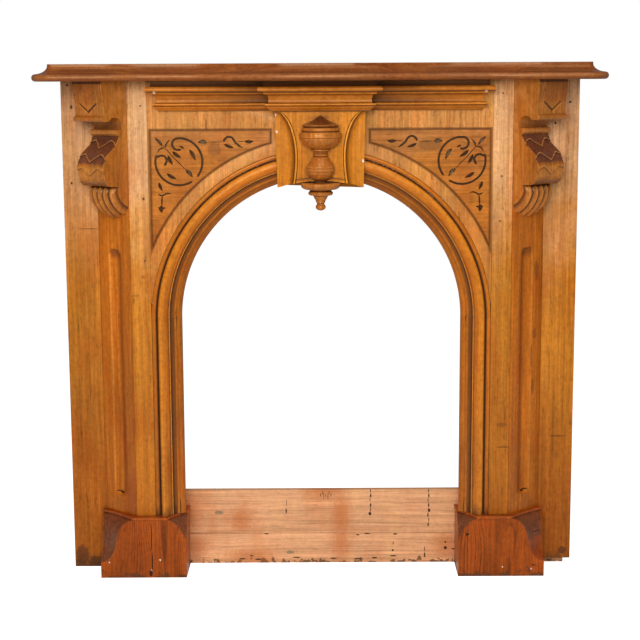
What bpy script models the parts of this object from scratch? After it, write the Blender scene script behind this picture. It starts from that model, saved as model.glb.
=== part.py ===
"""Carved wooden fireplace mantel with a round arch, canted pilasters and scroll corbels.

Metres, +Z up.  The mantel faces -Y.  The origin is under the middle of the whole box.
"Depth" below is measured forward from the wall plane, and "half" from the middle plane.
"""
import math

import bmesh
import bpy
from mathutils import Vector

# Overall sizes
OVERALL_HEIGHT = 1.325
FIT_GAP = 0.0003

# Shelf
SHELF_OVERHANG = 0.050
SHELF_THICKNESS = 0.042
SHELF_BOW_DEPTH = 0.262
SHELF_DIP_DEPTH = 0.188
SHELF_EAR_DEPTH = 0.212
SHELF_BOW_HALF = 0.070
SHELF_DIP_WIDTH = 0.090
SHELF_DIP_INSET = 0.013
SHELF_EAR_RUN = 0.125
SHELF_CORNER_RADIUS = 0.050
SHELF_NOSE_HEIGHT = 0.018
SHELF_COVE_DEPTH = 0.030
SHELF_COVE_STEP = 0.004

# Boards of the legs
BOARD_THICKNESS = 0.022
BODY_WIDTH = 1.320
WING_WIDTH = 0.087
CANT_RUN = 0.090
CANT_DEPTH = 0.077
STILE_WIDTH = 0.050
RIGHT_WING_CUT = 0.018

# Round-bottomed flute in each canted board
FLUTE_WIDTH = 0.044
FLUTE_DEPTH = 0.010
FLUTE_TOP = 0.857
FLUTE_BOTTOM = 0.207

# Raw boards across the back at the floor
BRACE_THICKNESS = 0.020
BRACE_INSET = 0.015
BRACE_LOWER_HEIGHT = 0.082
BRACE_UPPER_HEIGHT = 0.120

# Foot blocks
FOOT_HEIGHT = 0.162
FOOT_INNER_PROUD = 0.010
FOOT_OUTER_INSET = 0.007
FOOT_PROUD = 0.018
FOOT_INNER_SCOOP_WIDTH = 0.048
FOOT_OUTER_SCOOP_WIDTH = 0.087
FOOT_OUTER_SCOOP_START = 0.040
FOOT_INNER_SCOOP_START = 0.095
FOOT_OUTER_SCOOP_DEPTH = 0.085
FOOT_INNER_SCOOP_DEPTH = 0.070
FOOT_SCOOP_HOLLOW = 0.006
FOOT_LIP_HEIGHT = 0.007
FOOT_LIP_PROUD = 0.0025

# Arch and its moulding
ARCH_TO_FRIEZE = 0.0503
MOULDING_WIDTH = 0.0745
BEAD_WIDTH = 0.012
QUIRK_WIDTH = 0.002
TORUS_WIDTH = 0.028
FILLET_WIDTH = 0.003
GROOVE_WIDTH = 0.006
BEAD_PROUD = 0.003
TORUS_PROUD = 0.005
FILLET_SINK = 0.007
GROOVE_SINK = 0.019
QUIRK_SINK = 0.007
REVEAL_NOSE_SINK = 0.022
REVEAL_THICKNESS = 0.014
SPANDREL_TIP_WIDTH = 0.002
ARCH_STEPS = 16

# Sunk spandrels and their panels
FRIEZE_HEIGHT = 0.045
PANEL_SIDE_MARGIN = 0.0032
PANEL_KEY_MARGIN = 0.009
ARCH_BAND_WIDTH = 0.030
PANEL_BEVEL = 0.003
PANEL_SINK = 0.004
PANEL_THICKNESS = 0.008
SCROLL_DEPTH = 0.0028

# Moulding under the shelf
BED_HEIGHT = 0.075
BED_END_INSET = 0.034
BED_BREAK_MARGIN = 0.005
BED_BREAK_DEPTH = 0.040
BED_ROLL = 0.036
BED_TOP_BAND = 0.014
BED_TOP_BAND_PROUD = 0.022
BED_ROLL_RADIUS = 0.0075
BED_FILLET = 0.005
BED_LOWER_OGEE = 0.013
BED_BEAD_RADIUS = 0.003

# Keystone
KEY_PROUD = 0.037
KEY_TOP_HALF = 0.113
KEY_BOTTOM_HALF = 0.108
KEY_DROP = 0.0212
KEY_ARCH_RISE = 0.018
KEY_FIELD_TOP_HALF = 0.107
KEY_WAIST_HALF = 0.0556
KEY_WAIST_RISE = 0.068
KEY_CHEEK_DEPTH = 0.018
KEY_COVE_WIDTH = 0.020
KEY_BAND_WIDTH = 0.007
KEY_BAND_SINK = 0.004
KEY_LEDGE_HEIGHT = 0.010
KEY_LEDGE_PROUD = 0.004
KEY_REBATE_CLEARANCE = 0.001

# Half-turned urn and drop on the keystone
URN_TOP_MARGIN = 0.0097
URN_HEIGHT = 0.2365
URN_RIM_RADIUS = 0.047
URN_BOWL_RADIUS = 0.052
URN_NECK_RADIUS = 0.018
URN_VASE_RADIUS = 0.036
DROP_DISC_RADIUS = 0.0495
DROP_RING_RADIUS = 0.031
DROP_BALL_RADIUS = 0.0128
URN_SIDES = 10

# Scroll corbels on the canted boards
CORBEL_CENTER = 0.069
CORBEL_WIDTH = 0.091
CORBEL_BLOCK_PROUD = 0.083
CORBEL_BLOCK_HEIGHT = 0.087
CORBEL_ROLL_HEIGHT = 0.012
CORBEL_BULGE_PROUD = 0.080
CORBEL_NECK_PROUD = 0.027
CORBEL_HEIGHT = 0.347
CORBEL_COLUMNS = 10
SCALE_DEPTH = 0.0030
LEAF_LOBES = 4
LEAF_LOBE_DEPTH = 0.0050

# Places that follow from the sizes above
BACK_Y = SHELF_BOW_DEPTH / 2
SHELF_UNDERSIDE = OVERALL_HEIGHT - SHELF_THICKNESS
LEG_TOP = SHELF_UNDERSIDE - FIT_GAP
WING_BACK = BRACE_THICKNESS + FIT_GAP
WING_FRONT = WING_BACK + BOARD_THICKNESS
FRONT = WING_FRONT + CANT_DEPTH
FRONT_BACK = FRONT - BOARD_THICKNESS
WING_OUTER = BODY_WIDTH / 2
SHELF_HALF = WING_OUTER + SHELF_OVERHANG
WING_INNER = WING_OUTER - WING_WIDTH
STILE_OUTER = WING_INNER - CANT_RUN
STILE_INNER = STILE_OUTER - STILE_WIDTH
MOULDING_OUTER = STILE_INNER - FIT_GAP
OPENING_RADIUS = MOULDING_OUTER - MOULDING_WIDTH
LEG_FOOT = FOOT_HEIGHT + FIT_GAP
SHELF_DIP_OUTER_HALF = STILE_INNER - SHELF_DIP_INSET
SHELF_DIP_INNER_HALF = SHELF_DIP_OUTER_HALF - SHELF_DIP_WIDTH
SHELF_EAR_HALF = SHELF_DIP_OUTER_HALF + SHELF_EAR_RUN
FOOT_INNER_HALF = OPENING_RADIUS - FOOT_INNER_PROUD
FOOT_OUTER_HALF = WING_INNER - FOOT_OUTER_INSET
BED_HALF = STILE_INNER - BED_END_INSET
BED_BREAK_HALF = KEY_TOP_HALF + BED_BREAK_MARGIN
BED_BOTTOM = SHELF_UNDERSIDE - BED_HEIGHT
PANEL_TOP = BED_BOTTOM - FRIEZE_HEIGHT
PANEL_INNER_HALF = KEY_TOP_HALF + PANEL_KEY_MARGIN
SPRING_HEIGHT = PANEL_TOP - ARCH_TO_FRIEZE - MOULDING_OUTER
PANEL_OUTER = STILE_INNER - PANEL_SIDE_MARGIN
PANEL_ARC_RADIUS = MOULDING_OUTER + ARCH_BAND_WIDTH
KEY_TOP = BED_BOTTOM - FIT_GAP
KEY_BOTTOM = SPRING_HEIGHT + OPENING_RADIUS - KEY_DROP
KEY_WAIST_HEIGHT = KEY_BOTTOM + KEY_WAIST_RISE
URN_APEX = KEY_TOP - URN_TOP_MARGIN

# Drawing steps of the carved shapes: their outlines are drawn on a grid of so many steps
SCROLL_GRID = (PANEL_OUTER - PANEL_INNER_HALF) / 305
URN_GRID = URN_HEIGHT / 236.5
CORBEL_GRID = CORBEL_HEIGHT / 347

WAXED_PINE = ((0.47, 0.19, 0.045, 1.0), 0.38)
DARK_PINE = ((0.30, 0.09, 0.022, 1.0), 0.34)
RAW_PINE = ((0.62, 0.34, 0.19, 1.0), 0.75)


def place(side, half, depth, height):
    """A point from its side (-1 left, 1 right), half width, depth from the wall and height."""
    return Vector((side * half, BACK_Y - depth, height))


def material_for(name, finish):
    colour, roughness = finish
    material = bpy.data.materials.new(name)
    material.use_nodes = True
    shader = material.node_tree.nodes["Principled BSDF"]
    shader.inputs["Base Color"].default_value = colour
    shader.inputs["Roughness"].default_value = roughness
    shader.inputs["Metallic"].default_value = 0.0
    return material


def object_from(name, bm, finish, smooth=False):
    bmesh.ops.recalc_face_normals(bm, faces=bm.faces)
    mesh = bpy.data.meshes.new(name)
    bm.to_mesh(mesh)
    bm.free()
    if smooth:
        mesh.shade_smooth()
        mesh.set_sharp_from_angle(angle=math.radians(35))
    mesh.materials.append(material_for(name, finish))
    item = bpy.data.objects.new(name, mesh)
    bpy.context.scene.collection.objects.link(item)
    return item


def loft(name, rings, finish, smooth=False, paired=False):
    """A closed solid through rings with the same number of points, capped at both ends.

    Paired rings run along the front and return along the back, and their caps are strips.
    """
    bm = bmesh.new()
    rows = [[bm.verts.new(point) for point in ring] for ring in rings]
    count = len(rows[0])
    for lower, upper in zip(rows, rows[1:]):
        for i in range(count):
            j = (i + 1) % count
            bm.faces.new((lower[i], lower[j], upper[j], upper[i]))
    for row in (rows[0], rows[-1]):
        if not paired:
            bm.faces.new(row)
            continue
        for i in range(count // 2 - 1):
            bm.faces.new((row[i], row[i + 1], row[count - 2 - i], row[count - 1 - i]))
    return object_from(name, bm, finish, smooth)


def board(name, side, plan, bottom, top, finish):
    """An upright board from its plan, a list of (half, depth) corners."""
    rings = [[place(side, half, depth, height) for half, depth in plan] for height in (bottom, top)]
    return loft(name, rings, finish)


def cut(item, cutter):
    """Take the cutter's space out of a piece, keeping the cutter as a hidden guide."""
    cutter.hide_render = True
    cutter.display_type = "WIRE"
    boolean = item.modifiers.new("cut", "BOOLEAN")
    boolean.operation = "DIFFERENCE"
    boolean.solver = "EXACT"
    boolean.object = cutter


def arc(center, radius, start, end, steps):
    """Points on an arc from start to end, in degrees."""
    points = []
    for i in range(steps + 1):
        angle = math.radians(start + (end - start) * i / steps)
        points.append((center[0] + radius * math.cos(angle), center[1] + radius * math.sin(angle)))
    return points


def bezier(start, start_handle, end_handle, end, steps):
    """Points on a cubic curve in a plane, without its first point."""
    points = []
    for i in range(1, steps + 1):
        t = i / steps
        weights = ((1 - t) ** 3, 3 * t * (1 - t) ** 2, 3 * t * t * (1 - t), t ** 3)
        knots = (start, start_handle, end_handle, end)
        points.append(tuple(sum(w * knot[axis] for w, knot in zip(weights, knots)) for axis in (0, 1)))
    return points


def ease(t):
    t = min(1.0, max(0.0, t))
    return t * t * (3 - 2 * t)


def shelf_depth(half):
    """Depth of the serpentine front edge at a distance from the middle."""
    if half < SHELF_DIP_OUTER_HALF:
        t = (half - SHELF_BOW_HALF) / (SHELF_DIP_INNER_HALF - SHELF_BOW_HALF)
        return SHELF_BOW_DEPTH - (SHELF_BOW_DEPTH - SHELF_DIP_DEPTH) * ease(t)
    t = (half - SHELF_DIP_OUTER_HALF) / (SHELF_EAR_HALF - SHELF_DIP_OUTER_HALF)
    return SHELF_DIP_DEPTH + (SHELF_EAR_DEPTH - SHELF_DIP_DEPTH) * ease(t)


def shelf_outline():
    """Plan of the shelf's left end and front, as (x, depth) from the back left corner."""
    steps = 20
    corner_half = SHELF_HALF - SHELF_CORNER_RADIUS
    corner = arc((corner_half, SHELF_EAR_DEPTH - SHELF_CORNER_RADIUS), SHELF_CORNER_RADIUS, 0, 90, 7)
    left = [(SHELF_HALF, 0.0)] + corner
    for i in range(1, steps):
        half = corner_half * (1 - i / steps)
        left.append((half, shelf_depth(half)))
    left = [(-half, depth) for half, depth in left]
    return left + [(0.0, SHELF_BOW_DEPTH)] + [(-x, depth) for x, depth in reversed(left)]


def shelf_edge():
    """Edge of the shelf from top to underside, as (set back from the nose, height)."""
    top = OVERALL_HEIGHT
    nose = SHELF_NOSE_HEIGHT / 2
    cove_foot = SHELF_UNDERSIDE + SHELF_NOSE_HEIGHT
    cove_height = top - cove_foot - SHELF_COVE_STEP
    back = SHELF_COVE_DEPTH + nose
    points = [(back, top), (back, top - SHELF_COVE_STEP)]
    for i in range(1, 5):
        angle = math.radians(90 * i / 4)
        points.append((nose + SHELF_COVE_DEPTH * math.cos(angle) ** 1.15,
                       cove_foot + cove_height * (1 - math.sin(angle))))
    for i in range(1, 7):
        angle = math.radians(90 - 180 * i / 6)
        points.append((nose - nose * math.cos(angle), SHELF_UNDERSIDE + nose + nose * math.sin(angle)))
    return points


def build_shelf():
    outline = shelf_outline()
    normals = []
    last = len(outline) - 1
    for i, _ in enumerate(outline):
        before = Vector(outline[max(0, i - 1)])
        after = Vector(outline[min(last, i + 1)])
        along = (after - before).normalized()
        normals.append(Vector((-along.y, along.x)))
    rings = []
    for set_back, height in shelf_edge():
        ring = []
        for i, (x, depth) in enumerate(outline):
            inward = Vector((-math.copysign(1, x), 0)) if i in (0, last) else -normals[i]
            spot = Vector((x, depth)) + set_back * inward
            ring.append(Vector((spot.x, BACK_Y - spot.y, height)))
        rings.append(ring)
    return loft("mantel_shelf", rings, DARK_PINE, smooth=True)


def bed_profile():
    """Bed moulding from its top down, as (proud of the board, height)."""
    band_foot = SHELF_UNDERSIDE - BED_TOP_BAND
    roll = BED_ROLL_RADIUS
    points = [(BED_TOP_BAND_PROUD, LEG_TOP), (BED_TOP_BAND_PROUD, band_foot)]
    points += [(BED_ROLL - roll + x, band_foot - roll + z) for x, z in arc((0, 0), roll, 90, -60, 5)]
    fillet_top = band_foot - 1.9 * roll
    cove_top = fillet_top - BED_FILLET
    points += [(BED_ROLL * 0.62, fillet_top), (BED_ROLL * 0.60, cove_top)]
    cove_foot = BED_BOTTOM + BED_LOWER_OGEE + 2 * BED_BEAD_RADIUS
    points += bezier((BED_ROLL * 0.52, cove_top), (BED_ROLL * 0.20, cove_top),
                     (BED_ROLL * 0.20, cove_foot), (BED_ROLL * 0.34, cove_foot), 5)
    points += arc((BED_ROLL * 0.44, cove_foot - BED_BEAD_RADIUS), BED_BEAD_RADIUS, 80, -80, 4)
    ogee_top = BED_BOTTOM + BED_LOWER_OGEE
    ogee_middle = BED_BOTTOM + BED_LOWER_OGEE / 2
    points += bezier((BED_ROLL * 0.40, ogee_top), (BED_ROLL * 0.40, ogee_middle),
                     (BED_ROLL * 0.18, ogee_middle), (BED_ROLL * 0.16, BED_BOTTOM), 4)
    return points


def build_bed_mouldings():
    face = FRONT + FIT_GAP
    profile = bed_profile()
    for name, side in (("bed_moulding_left", -1), ("bed_moulding_right", 1)):
        rings = []
        for proud, height in profile:
            plan = ((BED_HALF + proud, face), (BED_HALF + proud, face + proud),
                    (BED_BREAK_HALF + FIT_GAP * 2 + proud, face + proud), (BED_BREAK_HALF + FIT_GAP * 2, face))
            rings.append([place(side, half, depth, height) for half, depth in plan])
        loft(name, rings, WAXED_PINE, smooth=True)
    rings = []
    for proud, height in profile:
        front = face + BED_BREAK_DEPTH + proud
        plan = ((-1, BED_BREAK_HALF, face), (-1, BED_BREAK_HALF + proud, face + proud),
                (-1, BED_BREAK_HALF + proud, front), (1, BED_BREAK_HALF + proud, front),
                (1, BED_BREAK_HALF + proud, face + proud), (1, BED_BREAK_HALF, face))
        rings.append([place(side, half, depth, height) for side, half, depth in plan])
    loft("bed_moulding_center", rings, WAXED_PINE, smooth=True)


def moulding_section():
    """Section of the arch and jamb moulding, as (radius from the arch centre, depth)."""
    radius = MOULDING_OUTER
    points = [(radius, FRONT_BACK), (radius, FRONT)]
    bead_middle = radius - BEAD_WIDTH / 2
    for i in range(1, 5):
        angle = math.pi * i / 5
        points.append((bead_middle + BEAD_WIDTH / 2 * math.cos(angle), FRONT + BEAD_PROUD * math.sin(angle)))
    radius -= BEAD_WIDTH
    points += [(radius, FRONT - QUIRK_SINK), (radius - QUIRK_WIDTH, FRONT - QUIRK_SINK)]
    radius -= QUIRK_WIDTH
    middle = radius - TORUS_WIDTH / 2
    torus_foot = FRONT - FILLET_SINK
    for i in range(0, 8):
        angle = math.pi * i / 7
        points.append((middle + TORUS_WIDTH / 2 * math.cos(angle),
                       torus_foot + (TORUS_PROUD + FILLET_SINK) * math.sin(angle) ** 0.8))
    radius -= TORUS_WIDTH
    points += [(radius - FILLET_WIDTH, torus_foot - FILLET_WIDTH / 4), (radius - FILLET_WIDTH, FRONT - GROOVE_SINK)]
    radius -= FILLET_WIDTH + GROOVE_WIDTH
    points.append((radius, FRONT - GROOVE_SINK))
    nose = FRONT - REVEAL_NOSE_SINK
    inner = OPENING_RADIUS
    round_over = REVEAL_THICKNESS / 2
    points += bezier((radius, nose), (inner + round_over, nose), (inner, nose - round_over),
                     (inner, nose - 3 * round_over), 5)
    points += [(inner, WING_BACK), (inner + REVEAL_THICKNESS, WING_BACK), (inner + REVEAL_THICKNESS, FRONT_BACK)]
    return points


def build_arch_mouldings():
    section = moulding_section()
    for name, side in (("arch_moulding_left", -1), ("arch_moulding_right", 1)):
        rings = []
        for i in range(ARCH_STEPS + 1):
            crown_gap = FIT_GAP / OPENING_RADIUS
            angle = min(math.pi / 2 * i / ARCH_STEPS, math.pi / 2 - crown_gap)
            rings.append([place(side, radius * math.cos(angle), depth, SPRING_HEIGHT + radius * math.sin(angle))
                          for radius, depth in section])
        loft(name, rings, WAXED_PINE, smooth=True)
    for name, side in (("jamb_moulding_left", -1), ("jamb_moulding_right", 1)):
        rings = [[place(side, radius, depth, height) for radius, depth in section]
                 for height in (LEG_FOOT, SPRING_HEIGHT - FIT_GAP)]
        loft(name, rings, WAXED_PINE, smooth=True)


def panel_outline(inset, steps=18):
    """Outline of a spandrel as (half, height), drawn in by an inset from its edge."""
    outer = PANEL_OUTER - inset
    inner = PANEL_INNER_HALF + inset
    top = PANEL_TOP - inset
    radius = PANEL_ARC_RADIUS + inset
    start = math.acos(inner / radius)
    end = math.acos(outer / radius)
    points = [(outer, top), (inner, top)]
    for i in range(steps + 1):
        angle = start + (end - start) * i / steps
        points.append((radius * math.cos(angle), SPRING_HEIGHT + radius * math.sin(angle)))
    return points


def spandrel_rings(side, levels):
    """Rings of a spandrel shape at several (inset, depth) levels."""
    return [[place(side, half, depth, height) for half, height in panel_outline(inset)]
            for inset, depth in levels]


def build_arch_board():
    radius = MOULDING_OUTER + FIT_GAP
    edge = STILE_INNER - FIT_GAP
    tip = math.acos((edge - SPANDREL_TIP_WIDTH) / radius)
    outline = [(edge, SPRING_HEIGHT + radius * math.sin(tip)), (edge, LEG_TOP)]
    outline += [(-x, z) for x, z in reversed(outline)]
    half_turn = 2 * ARCH_STEPS
    between = [math.pi * i / half_turn for i in range(half_turn, -1, -1)]
    between = [angle for angle in between if tip + 0.01 < angle < math.pi - tip - 0.01]
    for angle in [math.pi - tip] + between + [tip]:
        outline.append((radius * math.cos(angle), SPRING_HEIGHT + radius * math.sin(angle)))
    rings = [[Vector((x, BACK_Y - depth, z)) for x, z in outline] for depth in (FRONT_BACK, FRONT)]
    item = loft("arch_front_board", rings, WAXED_PINE)
    floor = FRONT - PANEL_SINK - PANEL_THICKNESS - FIT_GAP
    above = FRONT + PANEL_SINK
    for side, name in ((-1, "spandrel_pocket_left"), (1, "spandrel_pocket_right")):
        levels = ((PANEL_BEVEL, floor), (PANEL_BEVEL, FRONT - PANEL_SINK), (0.0, FRONT), (0.0, above))
        cut(item, loft(name, spandrel_rings(side, levels), WAXED_PINE))


def leaf_stroke(root, tip, width):
    """A pointed leaf between two points."""
    root = Vector(root)
    tip = Vector(tip)
    across = (tip - root).orthogonal().normalized() * width / 2
    middle = root.lerp(tip, 0.45)
    return [tuple(root), tuple(middle + across), tuple(tip), tuple(middle - across)]


def line_stroke(points, width):
    """A line of even width with pointed ends, as a closed outline."""
    path = [Vector(point) for point in points]
    left = []
    right = []
    last = len(path) - 1
    for i, point in enumerate(path):
        along = (path[min(last, i + 1)] - path[max(0, i - 1)]).normalized()
        taper = 0.30 if i in (0, last) else 1.0
        across = Vector((-along.y, along.x)) * width / 2 * taper
        left.append(tuple(point + across))
        right.append(tuple(point - across))
    return left + right[::-1]


def scroll_strokes():
    """Strokes of the incised scrollwork, in grid steps from the outer edge and below the top edge."""
    ring = (70.5, 77.5)
    radius = 58.5
    upper_curl = arc((69, 34), 14.5, -80, -300, 9)
    upper_ring = arc(ring, radius, -92, 40, 16)
    lower_curl = arc((27.5, 74.5), 12.5, 60, -135, 8)
    lower_ring = arc(ring, radius, 194, 56, 16)
    thin = 1.4
    bold = 3.4
    strokes = [line_stroke(upper_curl[::-1] + upper_ring, bold),
               line_stroke(lower_curl + lower_ring, bold),
               line_stroke([(28, 35), (60, 70), (93, 104)], thin),
               leaf_stroke((89, 99), (103.5, 116), 11),
               leaf_stroke((30, 38), (12, 19), 9),
               line_stroke([(36.5, 43), (40, 33), (48, 23)], 4),
               line_stroke([(34, 44), (24, 45.5), (16.5, 56)], 3.8),
               leaf_stroke((54, 52), (77, 68), 7),
               leaf_stroke((97, 47), (113, 75), 9),
               leaf_stroke((43, 62), (55, 85), 8),
               leaf_stroke((39, 107), (63, 120), 8),
               leaf_stroke((19, 130), (28, 150), 7),
               line_stroke([(18, 157), (27, 162), (36, 157.5), (50, 157)], 3.4),
               line_stroke([(27.5, 164), (26.5, 178), (25, 191)], 3.6),
               leaf_stroke((25, 187), (25, 205), 17),
               leaf_stroke((142, 30), (119, 29.5), 13),
               line_stroke([(140, 29.7), (160, 29.3), (181, 29)], thin)]
    hook = arc((196, 29), 12.5, 180, 330, 8) + [(214, 34), (230, 44)]
    strokes += [line_stroke(hook, bold),
                leaf_stroke((185, 35), (207, 44), 7),
                line_stroke([(217.5, 28.5), (227, 28.3), (238, 28)], thin),
                leaf_stroke((235, 28), (257, 28), 10)]
    return strokes


def build_spandrel_panels():
    face = FRONT - PANEL_SINK
    fit = PANEL_BEVEL + FIT_GAP
    for side, name in ((-1, "spandrel_panel_left"), (1, "spandrel_panel_right")):
        levels = ((fit, face - PANEL_THICKNESS), (fit, face))
        item = loft(name, spandrel_rings(side, levels), WAXED_PINE)
        for number, stroke in enumerate(scroll_strokes()):
            drawn = [(PANEL_OUTER - PANEL_BEVEL - across * SCROLL_GRID,
                      PANEL_TOP - PANEL_BEVEL - down * SCROLL_GRID) for across, down in stroke]
            rings = [[place(side, half, depth, height) for half, height in drawn]
                     for depth in (face - SCROLL_DEPTH, face + SCROLL_DEPTH)]
            cut(item, loft(f"{name}_stroke_{number}", rings, WAXED_PINE))


def key_field_half(height):
    """Half width of the flat field of the keystone at a height."""
    if height < KEY_WAIST_HEIGHT:
        below = (KEY_WAIST_HEIGHT - height) / (KEY_WAIST_HEIGHT - KEY_BOTTOM)
        return KEY_WAIST_HALF + (KEY_BOTTOM_HALF - KEY_WAIST_HALF) * 0.11 * below * below
    above = min(1.0, (height - KEY_WAIST_HEIGHT) / (KEY_TOP - KEY_WAIST_HEIGHT))
    return KEY_WAIST_HALF + (KEY_FIELD_TOP_HALF - KEY_WAIST_HALF) * (1 - math.sqrt(1 - above * above))


def build_keystone():
    rows = 18
    back = FRONT + FIT_GAP
    face = back + KEY_PROUD
    cheek = face - KEY_CHEEK_DEPTH
    rings = []
    proud_of_cheek = KEY_BAND_SINK / 8
    ledge_share = KEY_LEDGE_HEIGHT / (KEY_TOP - KEY_BOTTOM)
    shares = [0.0, ledge_share * 0.98, ledge_share * 1.02]
    shares += [ledge_share * 1.02 + (1 - ledge_share * 1.02) * (i / rows) for i in range(1, rows + 1)]
    for index, share in enumerate(shares):
        height = KEY_BOTTOM + (KEY_TOP - KEY_BOTTOM) * share
        outer = KEY_BOTTOM_HALF + (KEY_TOP_HALF - KEY_BOTTOM_HALF) * share
        field = key_field_half(height)
        proud = KEY_LEDGE_PROUD if index < 2 else 0.0
        room = outer - field
        band = min(KEY_BAND_WIDTH, room * 0.25)
        cove = min(KEY_COVE_WIDTH, room * 0.60)
        left = [(outer, cheek), (field + band + cove, cheek + proud_of_cheek)]
        for i in range(1, 4):
            angle = math.radians(90 * i / 4)
            left.append((field + band + cove * (1 - math.sin(angle)),
                         cheek + (face - KEY_BAND_SINK - cheek) * (1 - math.cos(angle))))
        left += [(field + band, face - KEY_BAND_SINK), (field + band * 0.2, face - KEY_BAND_SINK),
                 (field, face + proud), (field * 0.5, face + proud)]
        ring = []
        for half, depth in left:
            ring.append((-half, depth))
        ring.append((0.0, face + proud))
        ring += [(half, depth) for half, depth in reversed(left)]
        ring += [(x, back) for x, _ in reversed(ring)]
        points = []
        for x, depth in ring:
            rise = KEY_ARCH_RISE * (1 - (x / KEY_BOTTOM_HALF) ** 2)
            points.append(Vector((x, BACK_Y - depth, height + max(0.0, rise) * (1 - share))))
        rings.append(points)
    item = loft("keystone_block", rings, WAXED_PINE, smooth=True, paired=True)
    cut(item, keystone_rebate())


def keystone_rebate():
    """The space in the back of the keystone that the arch moulding runs through."""
    top = MOULDING_OUTER + KEY_REBATE_CLEARANCE
    foot = OPENING_RADIUS - KEY_ARCH_RISE - 2 * KEY_ARCH_RISE
    front = FRONT + TORUS_PROUD + KEY_REBATE_CLEARANCE
    section = ((foot, FRONT_BACK), (top, FRONT_BACK), (top, front), (foot, front))
    reach = math.asin(KEY_TOP_HALF / MOULDING_OUTER) * 1.5
    steps = 16
    rings = []
    for i in range(steps + 1):
        angle = math.pi / 2 - reach + 2 * reach * i / steps
        rings.append([place(1, radius * math.cos(angle), depth, SPRING_HEIGHT + radius * math.sin(angle))
                      for radius, depth in section])
    return loft("keystone_rebate_cutter", rings, WAXED_PINE)


def urn_profile():
    """Turned profile of the urn and drop from its apex down, as (radius, height)."""
    step = URN_GRID
    rim = URN_RIM_RADIUS
    neck = URN_NECK_RADIUS
    drawn = [(1.2 * step, 0), (rim * 0.86, 20.5), (rim * 0.92, 23), (rim * 0.90, 30), (rim, 32.5),
             (rim, 38.5), (rim * 0.96, 40.5), (URN_BOWL_RADIUS * 0.99, 42.5)]
    drawn += bezier((URN_BOWL_RADIUS * 0.99, 42.5), (URN_BOWL_RADIUS * 1.04, 56),
                    (URN_BOWL_RADIUS * 0.86, 73), (neck * 1.6, 81), 6)
    drawn += [(neck * 1.22, 83), (neck * 1.36, 87), (neck, 89.5), (neck * 0.90, 95),
              (neck * 1.06, 98.5), (neck * 0.98, 102), (neck * 1.20, 105)]
    drawn += bezier((neck * 1.20, 105), (URN_VASE_RADIUS * 0.75, 118), (URN_VASE_RADIUS, 124),
                    (URN_VASE_RADIUS, 133), 4)
    drawn += bezier((URN_VASE_RADIUS, 133), (URN_VASE_RADIUS, 148), (neck * 1.4, 156), (neck * 1.1, 160), 4)
    drawn += [(neck * 0.78, 163), (neck * 0.83, 167), (DROP_DISC_RADIUS * 0.94, 168), (DROP_DISC_RADIUS, 171),
              (DROP_DISC_RADIUS * 0.97, 178), (DROP_DISC_RADIUS * 0.80, 183.5), (DROP_RING_RADIUS * 0.86, 188),
              (DROP_RING_RADIUS, 191.5), (DROP_RING_RADIUS * 0.97, 197), (neck, 201), (neck * 0.88, 205),
              (neck * 0.69, 213), (neck * 0.65, 215.5), (neck * 0.51, 218)]
    ball_half = (URN_HEIGHT / step - 218) / 2
    for i in range(1, 7):
        angle = math.radians(45 - 133 * i / 6)
        drawn.append((DROP_BALL_RADIUS * math.cos(angle), 218 + ball_half * (1 - math.sin(angle))))
    return [(radius, URN_APEX - down * step) for radius, down in drawn]


def build_urn():
    back = FRONT + 2 * FIT_GAP + KEY_PROUD + KEY_LEDGE_PROUD
    rings = []
    for radius, height in urn_profile():
        ring = []
        for i in range(URN_SIDES + 1):
            angle = math.pi * i / URN_SIDES
            ring.append(Vector((-radius * math.cos(angle), BACK_Y - back - radius * math.sin(angle), height)))
        rings.append(ring)
    return loft("keystone_urn_drop", rings, WAXED_PINE, smooth=True)


def corbel_profile():
    """Side outline of a corbel from its top down, as (proud, height, kind of surface)."""
    top = LEG_TOP
    step = CORBEL_GRID
    proud = CORBEL_BLOCK_PROUD
    block_foot = SHELF_UNDERSIDE - CORBEL_BLOCK_HEIGHT
    points = [(proud, top, "plain")]
    points += [(w, z, "plain") for w, z in
               bezier((proud, top), (proud, top - 30 * step), (proud - 12 * step, top - 45 * step),
                      (proud - 10 * step, block_foot + 4 * step), 5)]
    roll = CORBEL_ROLL_HEIGHT / 2
    roll_middle = (proud - roll - 2 * step, block_foot - roll)
    points += [(w, z, "plain") for w, z in arc(roll_middle, roll, 70, -90, 4)]
    under = block_foot - CORBEL_ROLL_HEIGHT
    hollow_middle = (CORBEL_NECK_PROUD + 13 * step, under - 4 * step)
    points.append((CORBEL_NECK_PROUD + 33 * step, under, "plain"))
    points += [(w, z, "plain") for w, z in arc(hollow_middle, 19 * step, 20, 205, 6)]
    neck_roll = (CORBEL_NECK_PROUD, under - 28 * step)
    points += [(w, z, "plain") for w, z in arc(neck_roll, 7 * step, 85, -75, 4)]
    neck = (CORBEL_NECK_PROUD, under - 38 * step)
    bulge = (CORBEL_BULGE_PROUD, under - 118 * step)
    points += [(w, z, "scale") for w, z in
               bezier(neck, (CORBEL_NECK_PROUD + 6 * step, neck[1] - 34 * step),
                      (CORBEL_BULGE_PROUD, bulge[1] + 46 * step), bulge, 15)]
    tuck = (CORBEL_BULGE_PROUD - 28 * step, under - 164 * step)
    points += [(w, z, "plain") for w, z in
               bezier(bulge, (CORBEL_BULGE_PROUD, bulge[1] - 26 * step),
                      (tuck[0] + 18 * step, tuck[1] - 2 * step), tuck, 5)]
    leaf_foot = (10 * step, LEG_TOP - CORBEL_HEIGHT)
    leaf_start = (tuck[0] - 2 * step, tuck[1] - 4 * step)
    points += [(w, z, "leaf") for w, z in
               bezier(leaf_start, (leaf_start[0] + 16 * step, leaf_start[1] - 26 * step),
                      (40 * step, leaf_foot[1] + 16 * step), leaf_foot, 8)]
    return points


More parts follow.
